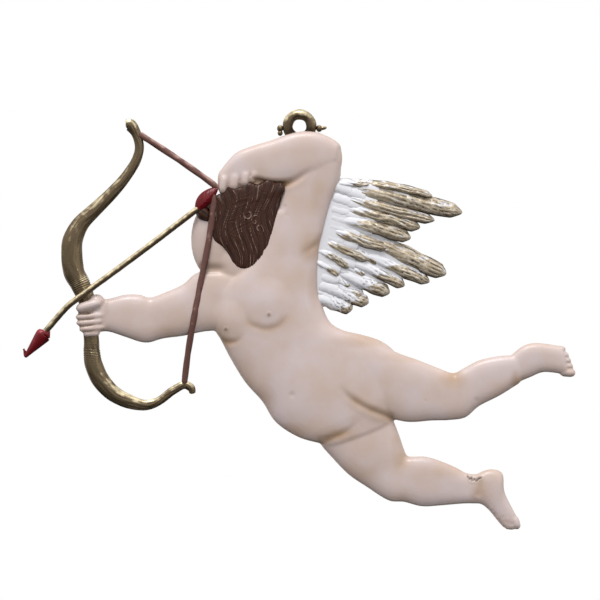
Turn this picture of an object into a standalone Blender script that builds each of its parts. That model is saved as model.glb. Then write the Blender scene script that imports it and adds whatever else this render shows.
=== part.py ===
"""Hanging cupid ornament: a flat two-sided relief, cast in one piece with its hanging eye.

Metres, +Z up. The front faces -Y, and y = 0 is the plane where the two halves of the mould met.
The origin is the inner top of the hanging eye, where a thread would pull.

The figure keeps its pose and proportions as hundredths of the overall width. A station is (x, z),
measured from the middle of the eye and from the seat where the eye meets the raised arm. A chord is
two stations, one on each edge of a form, so a form laid over its chords follows the outline.
"""

import math

import bmesh
import bpy
from mathutils import Matrix, Vector

MM = 0.001

# Overall size
OVERALL_WIDTH = 100.0 * MM

# Heights of the relief above the parting plane, front and back
BODY_FRONT = 2.6 * MM
BODY_BACK = 1.4 * MM
HAIR_FRONT = 2.6 * MM
HAIR_BACK = 2.1 * MM
WING_PLATE = 0.9 * MM
FEATHER_DEPTH = 1.7 * MM
BOW_DEPTH = 2.4 * MM

# Bars and small parts
EYE_HOLE = 2.4 * MM
EYE_BAR = 1.9 * MM
KNOB = 1.3 * MM
STRING_WIDTH = 1.15 * MM
SHAFT_WIDTH = 1.1 * MM
HEAD_WIDTH = 2.5 * MM
LOCK_WIDTH = 1.5 * MM
LOCK_RISE = 0.45 * MM

# Skin of the casting
VOXEL = 0.3 * MM
SKIN_TRIANGLES = 3600
SOFTEN_PASSES = 2

# A form this half wide, in hundredths, is as deep as its zone, and a narrower one is shallower
FULL_HALF_WIDTH = 10.0
DEPTH_POWER = 0.4

# Domes at a form's ends: how far ahead and how wide, as shares of the dome's reach and of the end chord
DOME = ((1.0, 0.3), (0.75, 0.7), (0.4, 0.93))
DOME_REACH = 0.35
EGG_END = 0.8

HUNDREDTH = OVERALL_WIDTH / 100.0
SEAT_DEPTH = 0.8
SEAT = Vector((0.0, 0.0, -SEAT_DEPTH * EYE_HOLE))

# Chords of the flesh forms: x and z of one edge, then of the other
TORSO = (
    (-5.7, -15.2, 5.1, -14.8), (-9.8, -23.9, 3.6, -21.5), (-15.6, -28.9, 3.3, -28.4),
    (-16.2, -34.0, 4.0, -31.3), (-14.0, -38.2, 5.5, -34.6), (-12.4, -41.3, 7.9, -36.1),
    (-9.8, -45.5, 11.3, -36.9), (-6.7, -49.0, 14.8, -38.1), (-4.3, -52.7, 17.5, -40.6),
    (-0.2, -55.4, 18.5, -46.1), (4.1, -56.6, 16.7, -52.0),
)
UPPER_ARM = (
    (-0.6, -0.8, 7.5, -3.3), (-2.4, -5.5, 7.7, -5.6), (-3.0, -9.8, 6.9, -9.6),
    (-3.7, -13.2, 5.7, -12.9), (-4.8, -16.6, 4.8, -16.1), (-6.8, -20.8, 3.9, -19.9),
)
FOREARM = (
    (-14.3, -7.3, -14.2, -10.9), (-11.6, -4.2, -11.6, -10.7), (-8.6, -2.9, -8.4, -9.2),
    (-5.0, -1.8, -4.6, -9.8), (-0.8, -0.4, 0.1, -9.2), (3.3, -0.4, 3.3, -8.3), (6.6, -2.2, 6.2, -6.5),
)
BOW_ARM = (
    (-37.5, -30.2, -37.5, -37.0), (-34.9, -30.5, -34.9, -36.4), (-31.5, -29.7, -31.5, -37.6),
    (-28.8, -29.7, -28.8, -38.6), (-27.0, -30.2, -27.0, -38.7), (-24.3, -29.3, -24.6, -38.0),
    (-21.0, -27.8, -20.8, -37.3), (-18.1, -25.6, -16.9, -36.3), (-12.2, -25.3, -12.2, -36.1),
)
UPPER_LEG = (
    (8.2, -37.6, 4.6, -45.7), (12.4, -37.4, 7.9, -48.6), (17.1, -39.9, 13.4, -50.9),
    (21.2, -41.4, 19.0, -52.6), (25.0, -42.9, 23.9, -52.4), (27.7, -43.8, 27.2, -52.3),
    (29.7, -42.9, 30.2, -51.6), (32.2, -41.6, 32.9, -50.1), (35.6, -40.8, 36.2, -48.4),
    (38.7, -40.6, 39.4, -46.5),
)
UPPER_FOOT = (
    (38.0, -40.8, 38.4, -46.2), (40.2, -39.0, 41.6, -44.6), (42.3, -38.4, 43.8, -43.7),
    (45.0, -38.6, 46.1, -43.8), (47.2, -39.0, 48.1, -44.2),
)
LOWER_LEG = (
    (3.3, -53.3, 13.1, -47.9), (3.7, -56.4, 16.3, -51.3), (5.7, -58.9, 17.8, -54.5),
    (8.8, -62.1, 18.7, -57.1), (12.0, -64.3, 19.4, -58.7), (16.0, -66.8, 20.5, -58.9),
    (18.9, -67.1, 22.7, -58.9), (22.1, -67.9, 25.2, -59.6), (25.9, -67.7, 28.1, -60.8),
    (29.5, -67.4, 30.2, -61.9), (32.2, -67.4, 32.4, -62.1),
)
LOWER_FOOT = (
    (31.1, -67.2, 31.5, -62.3), (32.8, -67.5, 34.2, -61.2), (34.2, -68.6, 36.6, -61.9),
    (35.6, -70.3, 37.0, -65.2), (36.9, -71.7, 38.5, -68.4), (38.4, -72.1, 39.6, -70.4),
)
HAIR = (
    (-9.4, -7.6, -3.2, -8.2), (-12.4, -9.7, -2.8, -9.9), (-15.4, -11.9, -3.2, -11.8),
    (-15.6, -15.0, -4.1, -15.0), (-15.6, -18.3, -4.6, -18.3), (-14.7, -20.4, -5.0, -21.0),
    (-12.7, -22.6, -5.9, -22.8), (-11.1, -24.6, -7.3, -24.4),
)

# Flesh forms: chords, lift in mm and reach of the end domes
FLESH_FORMS = (
    (TORSO, 0.0, DOME_REACH), (UPPER_ARM, 0.2, DOME_REACH), (FOREARM, 0.6, DOME_REACH), (BOW_ARM, 0.0, 0.2),
    (UPPER_LEG, 0.3, 0.5), (UPPER_FOOT, 0.1, 0.2), (LOWER_LEG, -0.3, DOME_REACH), (LOWER_FOOT, -0.2, DOME_REACH),
)

# Rounded pads: start x and z, end x and z, width, then lift of the middle and depth, both in mm
FLESH_PADS = (
    # cheek and chin, skull, neck
    (-15.4, -16.0, -15.4, -23.4, 8.4, 0.3, 3.0), (-10.2, -12.0, -10.2, -21.0, 9.0, 0.3, 3.4),
    (-13.0, -22.0, -9.0, -27.0, 8.0, 0.3, 3.0),
    # chest
    (-13.6, -33.8, -11.6, -35.4, 5.6, 0.8, 2.9), (-7.2, -32.4, -4.4, -32.2, 6.2, 1.1, 4.1),
    # ball of the thumb, thumb and four fingers round the bow
    (-36.9, -30.9, -36.3, -31.2, 2.9, 0.8, 2.4), (-40.5, -32.2, -35.6, -31.5, 1.8, 1.2, 1.9),
    (-40.4, -33.9, -35.8, -33.5, 1.7, 1.2, 1.9), (-39.9, -35.3, -35.8, -34.7, 1.6, 1.2, 1.8),
    (-39.3, -36.4, -35.8, -36.0, 1.5, 1.2, 1.7), (-38.5, -37.2, -36.4, -37.1, 1.2, 1.1, 1.5),
    # four fingers of the drawing hand
    (-14.5, -8.0, -13.9, -10.4, 1.5, 1.2, 1.9), (-13.2, -6.6, -12.4, -9.9, 1.7, 1.3, 2.2),
    (-11.5, -5.6, -10.9, -9.6, 1.8, 1.4, 2.2), (-9.8, -4.8, -9.3, -9.0, 1.8, 1.3, 2.2),
    # toes of the upper foot, then of the lower foot
    (46.6, -39.4, 47.6, -39.5, 1.1, 0.2, 2.2), (47.0, -40.4, 48.2, -40.6, 1.1, 0.2, 2.2),
    (47.3, -41.4, 48.6, -41.6, 1.1, 0.2, 2.2), (47.5, -42.4, 49.0, -42.6, 1.1, 0.2, 2.2),
    (47.6, -43.7, 49.2, -43.8, 1.6, 0.2, 2.4),
    (36.6, -70.6, 37.0, -71.2, 0.9, 0.0, 2.0), (37.2, -71.0, 37.6, -71.7, 0.9, 0.0, 2.0),
    (37.9, -70.9, 38.2, -71.8, 0.9, 0.0, 2.0), (38.9, -70.2, 39.3, -71.5, 1.4, 0.0, 2.2),
)

# Bow: x, z and width along its middle line, from the upper knob to the hooked lower tip
BOW = (
    (-31.4, 1.0, 1.5), (-30.5, 0.9, 2.2), (-29.4, -0.8, 1.7), (-28.9, -3.2, 1.6), (-29.6, -5.7, 1.7),
    (-31.5, -8.6, 1.9), (-33.9, -11.4, 2.2), (-36.8, -14.2, 2.5), (-39.4, -16.8, 3.0),
    (-40.9, -19.7, 3.6), (-41.1, -22.5, 3.8), (-40.7, -25.6, 3.8), (-39.5, -28.0, 3.5),
    (-38.2, -31.6, 2.9), (-37.6, -37.3, 2.7), (-37.5, -39.8, 2.9), (-37.1, -42.4, 3.2),
    (-35.8, -45.2, 3.2), (-33.6, -47.5, 2.9), (-30.7, -49.0, 2.5), (-27.9, -49.6, 1.9),
    (-25.4, -48.9, 1.5), (-23.0, -47.1, 1.5), (-20.9, -46.0, 1.4), (-19.6, -46.5, 1.4), (-19.3, -47.6, 1.0),
)

# String: x, z and lift in mm, from the upper tip to the drawing hand, and on down to the lower tip
STRING_UPPER = ((-28.9, -0.7, 0.1), (-22.0, -5.2, 0.9), (-15.6, -9.7, 1.7))
STRING_LOWER = (
    (-15.4, -11.6, 1.9), (-15.6, -14.5, 2.0), (-16.3, -19.7, 1.9), (-17.7, -27.0, 1.7),
    (-18.5, -31.0, 1.9), (-19.1, -34.3, 1.9), (-20.1, -40.1, 0.9), (-20.8, -45.8, 0.1),
)
ARROW = (
    (-17.2, -13.3, 1.8), (-27.8, -21.4, 1.7), (-38.4, -29.2, 1.8), (-40.3, -30.6, 1.8), (-42.4, -32.4, 1.5),
    (-47.0, -37.7, 0.6),
)

# Arrowhead and its barb: x, z, width as a share of the head's and lift in mm
ARROW_HEAD = ((-46.2, -37.0, 0.6, 0.7), (-46.4, -37.2, 1.0, 0.7), (-49.6, -41.0, 0.2, 0.3))
ARROW_BARB = ((-49.3, -40.7, 0.3, 0.3), (-49.8, -39.4, 0.12, 0.3))
HEAD_FLATTEN = 0.8
FLETCHING = (-18.0, -13.9, -14.8, -10.5, 2.4, 1.9, 1.6)

# Feathers: root x and z, tip x and z, width, lift in mm, then shares of the length and of the width
UPPER_FEATHERS = (
    (5.5, -9.3, 12.9, -9.8, 1.5, 0.1), (12.0, -9.4, 24.0, -11.9, 1.4, 0.0),
    (8.0, -9.8, 29.4, -14.9, 3.0, 0.2), (7.0, -11.4, 24.4, -16.3, 2.2, 0.3),
    (7.0, -13.4, 21.8, -17.6, 2.5, 0.3), (6.0, -15.4, 20.1, -19.5, 2.7, 0.4),
    (5.0, -17.4, 16.0, -21.3, 2.2, 0.4), (4.0, -19.4, 12.5, -23.4, 1.9, 0.4),
    (3.0, -21.2, 9.1, -24.8, 1.8, 0.4), (2.6, -23.2, 7.2, -26.2, 1.6, 0.3),
)
LOWER_FEATHERS = (
    (12.0, -18.8, 26.5, -26.0, 3.1, -0.1), (10.0, -21.2, 23.5, -27.4, 2.4, 0.0),
    (8.0, -23.0, 19.0, -28.1, 2.3, 0.1), (6.0, -24.8, 16.3, -29.4, 2.7, 0.1),
    (3.5, -27.0, 12.5, -31.2, 2.6, 0.1), (2.0, -29.4, 9.6, -32.3, 2.8, 0.1),
)
FEATHER_PROFILE = ((0.0, 0.7), (0.3, 1.0), (0.7, 1.0), (0.9, 0.8), (1.0, 0.35))
WING_BONES = (
    (3.0, -8.5, 3.0, -18.0), (9.0, -9.2, 6.5, -19.5), (14.0, -10.0, 10.0, -22.0), (20.0, -12.6, 14.0, -21.0),
)
WING_SKIRT = (
    (2.0, -17.0, 2.2, -32.4), (7.0, -17.5, 5.8, -31.4), (12.0, -18.6, 10.0, -29.0), (17.0, -20.2, 15.5, -27.6),
    (22.0, -23.2, 21.0, -26.2),
)

# Locks: where the first and last start and end, and how far and how often they wave
SIDE_LOCK = (-17.4, -14.4, -16.2, -17.0, 1.9, 1.0, 1.8)
FRONT_LOCKS = 8
BACK_LOCKS = 5
LOCK_TOP = ((-14.6, -12.6), (-3.9, -10.9))
LOCK_FOOT = ((-12.6, -21.6), (-6.4, -23.4))
LOCK_WAVE = 0.55
LOCK_TURNS = 1.2
LOCK_STAGGER = 0.4
LOCK_STEPS = 6
LOCK_END_WIDTH = 0.55
LOCK_FLATTEN = 0.8

# Locks lie on the mass at this share of its height, and lower towards the sides and the ends
LOCK_SEAT = 0.7
SIDE_FALL = 0.45
END_FALL = 0.25

# Scrolls beside the eye: side, then how far out, how far up and how wide, in knob widths
SCROLLS = ((-1, 0.3, 0.25, 1.0), (-1, 0.3, -0.4, 0.8), (1, 0.35, 0.25, 1.0))
SCROLL_TIP = ((0.3, 0.2, 0.8), (1.4, 0.35, 0.3))


def place(x, z, lift=0.0):
    """The point at a station, lifted towards the front."""
    return SEAT + Vector((x * HUNDREDTH, -lift, z * HUNDREDTH))


def smooth_rows(rows, steps):
    """The given rows of numbers with smooth rows between them."""
    padded = (rows[0], *rows, rows[-1])
    smooth = []
    for before, start, end, after in zip(padded, padded[1:], padded[2:], padded[3:]):
        for step in range(steps):
            t = step / steps
            weights = (
                (-t + 2 * t**2 - t**3) / 2,
                (2 - 5 * t**2 + 3 * t**3) / 2,
                (t + 4 * t**2 - 3 * t**3) / 2,
                (t**3 - t**2) / 2,
            )
            smooth.append([
                sum(weight * value for weight, value in zip(weights, values))
                for values in zip(before, start, end, after)
            ])
    smooth.append(list(rows[-1]))
    return smooth


def close_rings(mesh, rings):
    """A closed skin over rings of points, with a fan over each end."""
    made = [[mesh.verts.new(point) for point in ring] for ring in rings]
    for lower, upper in zip(made, made[1:]):
        for i in range(len(lower)):
            j = (i + 1) % len(lower)
            mesh.faces.new((lower[i], lower[j], upper[j], upper[i]))
    for ring in (made[0], made[-1]):
        middle = mesh.verts.new(sum((vert.co for vert in ring), Vector()) / len(ring))
        for i in range(len(ring)):
            mesh.faces.new((ring[i], ring[(i + 1) % len(ring)], middle))


def loft(mesh, chords, front, back, lift=0.0, steps=3, sides=20, reach=DOME_REACH):
    """A rounded form over its chords, deeper where it is wider, with a dome past each end."""
    rows = smooth_rows(chords, steps)
    middles = [Vector(((x1 + x2) / 2, (z1 + z2) / 2)) for x1, z1, x2, z2 in rows]
    halves = [Vector(((x2 - x1) / 2, (z2 - z1) / 2)) for x1, z1, x2, z2 in rows]
    start = (middles[0] - middles[1]).normalized() * halves[0].length * reach
    end = (middles[-1] - middles[-2]).normalized() * halves[-1].length * reach
    sections = [(middles[0] + start * ahead, halves[0] * share, share) for ahead, share in DOME]
    sections += [(middle, half, 1.0) for middle, half in zip(middles, halves)]
    sections += [(middles[-1] + end * ahead, halves[-1] * share, share) for ahead, share in reversed(DOME)]
    rings = []
    for middle, half, share in sections:
        full = min(1.0, half.length / share / FULL_HALF_WIDTH) ** DEPTH_POWER * share
        ring = []
        for i in range(sides):
            turn = 2 * math.pi * i / sides
            edge = middle + half * math.cos(turn)
            depth = (front if math.sin(turn) > 0 else back) * full * math.sin(turn)
            ring.append(place(edge.x, edge.y, lift + depth))
        rings.append(ring)
    close_rings(mesh, rings)


def pad(mesh, x1, z1, x2, z2, width, lift, depth, segments=12):
    """An egg from one station to another, its width in hundredths, its lift and depth in mm."""
    start, end = place(x1, z1, lift * MM), place(x2, z2, lift * MM)
    half_width = width * HUNDREDTH / 2
    along = end - start
    long_half = along.length / 2 + half_width * EGG_END
    forward = along.normalized()
    side = forward.cross(Vector((0, 1, 0)))
    basis = Matrix.Identity(4)
    for column, axis in enumerate((side * half_width, Vector((0, depth * MM / 2, 0)), forward * long_half)):
        for row in range(3):
            basis[row][column] = axis[row]
    matrix = Matrix.Translation((start + end) / 2) @ basis
    bmesh.ops.create_uvsphere(mesh, u_segments=segments, v_segments=segments // 2 + 2, radius=1.0, matrix=matrix)


def paint(name, colour, roughness, metallic=0.0):
    """The painted finish of one zone."""
    material = bpy.data.materials.new(name)
    material.use_nodes = True
    shader = material.node_tree.nodes["Principled BSDF"]
    shader.inputs["Base Color"].default_value = (*colour, 1.0)
    shader.inputs["Roughness"].default_value = roughness
    shader.inputs["Metallic"].default_value = metallic
    material.diffuse_color = (*colour, 1.0)
    return material


def group(name):
    """A new collection of the scene."""
    made = bpy.data.collections.new(name)
    bpy.context.scene.collection.children.link(made)
    return made


def solid_from(name, mesh, material, collection):
    """The object of a bmesh, its faces turned out."""
    bmesh.ops.recalc_face_normals(mesh, faces=mesh.faces)
    data = bpy.data.meshes.new(name)
    mesh.to_mesh(data)
    mesh.free()
    data.materials.append(material)
    data.shade_smooth()
    made = bpy.data.objects.new(name, data)
    collection.objects.link(made)
    return made


def bar(name, rows, flatten, material, collection, steps=1, resolution=2):
    """A tapered round bar through rows of x, z, width in metres and lift in metres, flattened in depth."""
    curve = bpy.data.curves.new(name, "CURVE")
    curve.dimensions = "3D"
    curve.bevel_depth = 1.0
    curve.bevel_resolution = resolution
    curve.use_fill_caps = True
    rows = smooth_rows(rows, steps)
    spline = curve.splines.new("POLY")
    spline.points.add(len(rows) - 1)
    for point, (x, z, width, lift) in zip(spline.points, rows):
        point.co = (*place(x, z, lift), 1.0)
        point.radius = width / 2
    guide = bpy.data.objects.new(name, curve)
    collection.objects.link(guide)
    bpy.context.view_layer.update()
    evaluated = guide.evaluated_get(bpy.context.evaluated_depsgraph_get())
    data = bpy.data.meshes.new_from_object(evaluated)
    bpy.data.objects.remove(guide)
    mesh = bmesh.new()
    mesh.from_mesh(data)
    bmesh.ops.remove_doubles(mesh, verts=mesh.verts, dist=0.00001)
    middle = -sum(row[3] for row in rows) / len(rows)
    for vert in mesh.verts:
        vert.co.y = middle + (vert.co.y - middle) * flatten
    return solid_from(name, mesh, material, collection)


def flesh(material, collection):
    """The child's body, one smooth skin over its rounded forms."""
    mesh = bmesh.new()
    for chords, lift, reach in FLESH_FORMS:
        loft(mesh, chords, BODY_FRONT, BODY_BACK, lift=lift * MM, reach=reach)
    for row in FLESH_PADS:
        pad(mesh, *row)
    forms = solid_from("skin_forms", mesh, material, collection)
    remesh = forms.modifiers.new("one skin", "REMESH")
    remesh.mode = "VOXEL"
    remesh.voxel_size = VOXEL
    soften = forms.modifiers.new("soften", "SMOOTH")
    soften.factor = 0.5
    soften.iterations = SOFTEN_PASSES
    bpy.context.view_layer.update()
    skin = bpy.data.meshes.new_from_object(forms.evaluated_get(bpy.context.evaluated_depsgraph_get()))
    bpy.data.objects.remove(forms)
    made = bpy.data.objects.new("cupid_ornament", skin)
    bpy.data.collections["cupid ornament"].objects.link(made)
    fewer = made.modifiers.new("fewer facets", "DECIMATE")
    fewer.ratio = min(1.0, SKIN_TRIANGLES / sum(len(face.vertices) - 2 for face in skin.polygons))
    fewer.use_collapse_triangulate = True
    return made


def hair(material, collection):
    """The hair mass with wavy locks that fall to its point, on both faces."""
    mesh = bmesh.new()
    loft(mesh, HAIR, HAIR_FRONT, HAIR_BACK, steps=2, sides=16)
    pad(mesh, *SIDE_LOCK, segments=8)
    solid_from("hair_mass", mesh, material, collection)
    faces = (
        ("front", FRONT_LOCKS, LOCK_SEAT * HAIR_FRONT + LOCK_RISE),
        ("back", BACK_LOCKS, -LOCK_SEAT * HAIR_BACK - LOCK_RISE / 2),
    )
    for face, count, lift in faces:
        for i in range(count):
            share = (i + 0.5) / count
            top = Vector(LOCK_TOP[0]).lerp(Vector(LOCK_TOP[1]), share)
            foot = Vector(LOCK_FOOT[0]).lerp(Vector(LOCK_FOOT[1]), share)
            rows = []
            for step in range(LOCK_STEPS + 1):
                t = step / LOCK_STEPS
                spot = top.lerp(foot, t)
                wave = LOCK_WAVE * math.sin(2 * math.pi * (LOCK_TURNS * t + LOCK_STAGGER * share))
                fall = SIDE_FALL * (2 * share - 1) ** 2 + END_FALL * (2 * t - 1) ** 2
                width = LOCK_WIDTH * (LOCK_END_WIDTH + (1 - LOCK_END_WIDTH) * math.sin(math.pi * t))
                rows.append((spot.x + wave, spot.y, width, lift * (1 - fall)))
            bar(f"lock_{face}_{i + 1}", rows, LOCK_FLATTEN, material, collection, resolution=1)


def wing(material, collection):
    """The wing's plate and its feathers, in two rows that overlap."""
    for name, chords in (("wing_plate_upper", WING_BONES), ("wing_plate_lower", WING_SKIRT)):
        mesh = bmesh.new()
        loft(mesh, chords, WING_PLATE, WING_PLATE, steps=1, sides=10)
        solid_from(name, mesh, material, collection)
    for row_name, feathers in (("upper", UPPER_FEATHERS), ("lower", LOWER_FEATHERS)):
        for i, (x1, z1, x2, z2, width, lift) in enumerate(feathers):
            rows = [
                (x1 + (x2 - x1) * t, z1 + (z2 - z1) * t, width * HUNDREDTH * share, lift * MM)
                for t, share in FEATHER_PROFILE
            ]
            flatten = FEATHER_DEPTH / (width * HUNDREDTH)
            bar(f"feather_{row_name}_{i + 1}", rows, min(1.0, flatten), material, collection, resolution=1)


def bow(material, collection):
    """The bow, wide at the middle of each limb, with a knob above and a hook below."""
    widest = max(width for _, _, width in BOW) * HUNDREDTH
    rows = [(x, z, width * HUNDREDTH, 0.0) for x, z, width in BOW]
    bar("bow", rows, BOW_DEPTH / widest, material, collection, steps=2)


def bowstring(material, collection):
    """The string, drawn back to the hand and raised over the cheek and the bow arm."""
    for name, stations in (("string_upper", STRING_UPPER), ("string_lower", STRING_LOWER)):
        rows = [(x, z, STRING_WIDTH, lift * MM) for x, z, lift in stations]
        bar(name, rows, 1.0, material, collection, resolution=1)


def arrow(gold, red, collection):
    """The arrow's shaft, its barbed head and its leaf-shaped fletching."""
    rows = [(x, z, SHAFT_WIDTH, lift * MM) for x, z, lift in ARROW]
    bar("arrow_shaft", rows, 1.0, gold, collection, resolution=1)
    for name, stations, flatten in (("arrow_head", ARROW_HEAD, HEAD_FLATTEN), ("arrow_barb", ARROW_BARB, 1.0)):
        rows = [(x, z, share * HEAD_WIDTH, lift * MM) for x, z, share, lift in stations]
        bar(name, rows, flatten, red, collection, resolution=1)
    mesh = bmesh.new()
    pad(mesh, *FLETCHING, segments=10)
    solid_from("arrow_fletching", mesh, red, collection)


def hanging_eye(material, collection):
    """The ring that a thread passes through, seated on the raised arm between two small scrolls."""
    bpy.ops.mesh.primitive_torus_add(
        major_radius=(EYE_HOLE + EYE_BAR) / 2,
        minor_radius=EYE_BAR / 2,
        major_segments=28,
        minor_segments=10,
        location=(0, 0, -EYE_HOLE / 2),
        rotation=(math.pi / 2, 0, 0),
    )
    ring = bpy.context.active_object
    ring.name = "eye_ring"
    ring.data.materials.append(material)
    for owner in ring.users_collection:
        owner.objects.unlink(ring)
    collection.objects.link(ring)
    reach = EYE_HOLE / 2 + EYE_BAR
    for i, (side, out, up, share) in enumerate(SCROLLS):
        spot = SEAT + Vector((side * (reach + out * KNOB), 0, up * KNOB))
        mesh = bmesh.new()
        bmesh.ops.create_uvsphere(
            mesh, u_segments=10, v_segments=6, radius=share * KNOB / 2, matrix=Matrix.Translation(spot)
        )
        solid_from(f"eye_scroll_{i + 1}", mesh, material, collection)
    rows = [
        ((reach + out * KNOB) / HUNDREDTH, up * KNOB / HUNDREDTH, share * KNOB, 0.0)
        for out, up, share in SCROLL_TIP
    ]
    bar("eye_scroll_tip", rows, 1.0, material, collection, resolution=1)


def build():
    """The whole ornament, every form fused into one casting."""
    for old in list(bpy.data.objects):
        bpy.data.objects.remove(old)
    group("cupid ornament")
    forms = group("forms")
    skin_paint = paint("flesh paint", (0.62, 0.49, 0.43), 0.35)
    hair_paint = paint("brown paint", (0.07, 0.03, 0.02), 0.4)
    wing_paint = paint("white paint", (0.8, 0.8, 0.82), 0.4)
    gold_paint = paint("antique gold paint", (0.35, 0.25, 0.1), 0.35, 0.7)
    string_paint = paint("umber paint", (0.15, 0.07, 0.05), 0.4)
    red_paint = paint("red paint", (0.3, 0.01, 0.01), 0.35)
    casting = flesh(skin_paint, forms)
    hair(hair_paint, forms)
    wing(wing_paint, forms)
    bow(gold_paint, forms)
    bowstring(string_paint, forms)
    arrow(gold_paint, red_paint, forms)
    hanging_eye(gold_paint, forms)
    for form in forms.objects:
        form.hide_render = True
        form.display_type = "WIRE"
    fuse = casting.modifiers.new("one casting", "BOOLEAN")
    fuse.operation = "UNION"
    fuse.solver = "EXACT"
    fuse.operand_type = "COLLECTION"
    fuse.collection = forms
    fuse.material_mode = "TRANSFER"


build()
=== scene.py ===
"""Painted hanging cupid ornament, seen from its front against a bright, plain studio.

The ornament is one flat two-sided relief casting. Its paint zones are built here as closed pieces over
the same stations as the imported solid: flesh, hair, wing, bow, string, arrow and hanging eye.

A station is (x, z) in hundredths of the overall width, from the middle of the eye and from the seat
where the eye meets the raised arm. Lifts and depths are in millimetres, towards the front (-Y).
"""

import logging
import math
from dataclasses import dataclass, field
from enum import Enum
from typing import Callable, ClassVar, Iterable, Sequence

import bmesh
import bpy
import numpy as np
from mathutils import Matrix, Vector

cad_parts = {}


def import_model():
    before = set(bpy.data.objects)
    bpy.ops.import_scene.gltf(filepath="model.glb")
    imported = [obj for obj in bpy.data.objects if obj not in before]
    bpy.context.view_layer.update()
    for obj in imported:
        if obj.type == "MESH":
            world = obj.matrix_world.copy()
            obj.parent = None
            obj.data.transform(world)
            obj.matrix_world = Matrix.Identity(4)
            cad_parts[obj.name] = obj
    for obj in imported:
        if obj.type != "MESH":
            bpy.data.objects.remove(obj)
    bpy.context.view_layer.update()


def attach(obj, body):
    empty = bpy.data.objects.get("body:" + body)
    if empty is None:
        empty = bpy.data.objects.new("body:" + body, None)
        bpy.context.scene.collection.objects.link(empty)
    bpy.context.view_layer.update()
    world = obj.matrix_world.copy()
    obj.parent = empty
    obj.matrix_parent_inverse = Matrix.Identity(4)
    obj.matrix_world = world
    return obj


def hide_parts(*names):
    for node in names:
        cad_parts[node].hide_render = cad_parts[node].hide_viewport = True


LOG = logging.getLogger("cupid_ornament")

MM = 0.001
NODE = "cupid_ornament"
BODY = "root"

# Driving sizes of the casting, in metres
OVERALL_WIDTH = 100.0 * MM
HUNDREDTH = OVERALL_WIDTH / 100.0
EYE_HOLE = 2.4 * MM
SEAT_Z = -0.8 * EYE_HOLE

# How a rounded form swells: full height comes at this half width, in hundredths, by these powers
FULL_HALF_WIDTH = 10.0
DEPTH_POWER = 0.4
SECTION_POWER = 0.68

# Domes past a form's ends, how far an egg runs past its stations, and what welds a net's seam
DOME_REACH = 0.35
DOME_STEPS = 9
EGG_END = 0.8
WELD = 0.002 * MM

# Octaves of carved lines: how much finer each is, and its share of the height
GRAIN_OCTAVES = ((1.0, 0.5), (1.9, 0.3), (3.1, 0.2))

Chords = Sequence[tuple[float, float, float, float]]
Row = Sequence[float]

TORSO: Chords = (
    (-5.7, -15.2, 5.1, -14.8), (-9.8, -23.9, 3.6, -21.5), (-15.6, -28.9, 3.3, -28.4),
    (-16.2, -34.0, 4.0, -31.3), (-14.0, -38.2, 5.5, -34.6), (-12.4, -41.3, 7.9, -36.1),
    (-9.8, -45.5, 11.3, -36.9), (-6.7, -49.0, 14.8, -38.1), (-4.3, -52.7, 17.5, -40.6),
    (-0.2, -55.4, 18.5, -46.1), (4.1, -56.6, 16.7, -52.0),
)
UPPER_ARM: Chords = (
    (-0.6, -0.8, 7.5, -3.3), (-2.4, -5.5, 7.7, -5.6), (-3.0, -9.8, 6.9, -9.6),
    (-3.7, -13.2, 5.7, -12.9), (-4.8, -16.6, 4.8, -16.1), (-6.8, -20.8, 3.9, -19.9),
    (-7.4, -26.0, 2.6, -25.0),
)
FOREARM: Chords = (
    (-14.3, -7.3, -14.2, -10.9), (-11.6, -4.2, -11.6, -10.7), (-8.6, -2.9, -8.4, -9.2),
    (-5.0, -1.8, -4.6, -9.8), (-0.8, -0.4, 0.1, -9.2), (3.3, -0.4, 3.3, -8.3), (6.6, -2.2, 6.2, -6.5),
)
BOW_ARM: Chords = (
    (-37.5, -30.2, -37.5, -37.0), (-34.9, -30.5, -34.9, -36.3), (-31.5, -29.7, -31.5, -37.3),
    (-28.8, -29.7, -28.8, -38.2), (-27.0, -30.2, -27.0, -38.3), (-24.3, -29.3, -24.6, -37.6),
    (-21.0, -27.8, -20.8, -37.1), (-18.1, -25.6, -16.9, -36.3), (-12.2, -25.3, -12.2, -36.1),
)
UPPER_LEG: Chords = (
    (8.2, -37.6, 4.6, -45.7), (12.4, -37.4, 7.9, -48.6), (17.1, -39.9, 13.4, -50.9),
    (21.2, -41.4, 19.0, -52.6), (25.0, -42.9, 23.9, -52.4), (27.7, -43.8, 27.2, -52.3),
    (29.7, -42.9, 30.0, -51.8), (32.2, -41.6, 32.4, -49.8), (35.6, -40.8, 36.1, -47.9),
    (38.7, -40.6, 39.3, -45.9),
)
UPPER_FOOT: Chords = (
    (38.0, -40.8, 38.4, -45.9), (40.2, -39.0, 41.6, -44.6), (42.3, -38.4, 43.8, -43.7),
    (45.0, -38.6, 46.1, -43.8), (47.2, -39.0, 48.1, -44.2),
)
LOWER_LEG: Chords = (
    (3.3, -53.3, 13.1, -47.9), (3.7, -56.4, 16.3, -51.3), (5.7, -58.9, 17.8, -54.5),
    (8.8, -62.1, 18.7, -57.1), (12.0, -64.3, 19.4, -58.7), (16.0, -66.8, 20.5, -58.9),
    (18.9, -67.1, 22.7, -58.9), (22.1, -67.9, 25.2, -59.6), (25.9, -67.7, 28.1, -60.8),
    (29.5, -67.4, 30.2, -61.9), (32.2, -67.4, 32.4, -62.1),
)
LOWER_FOOT: Chords = (
    (31.1, -67.2, 31.5, -62.3), (32.8, -67.5, 34.2, -61.2), (34.2, -68.6, 36.6, -61.9),
    (35.6, -70.3, 37.0, -65.2), (36.9, -71.7, 38.5, -68.4), (38.4, -72.1, 39.6, -70.4),
)
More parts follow.
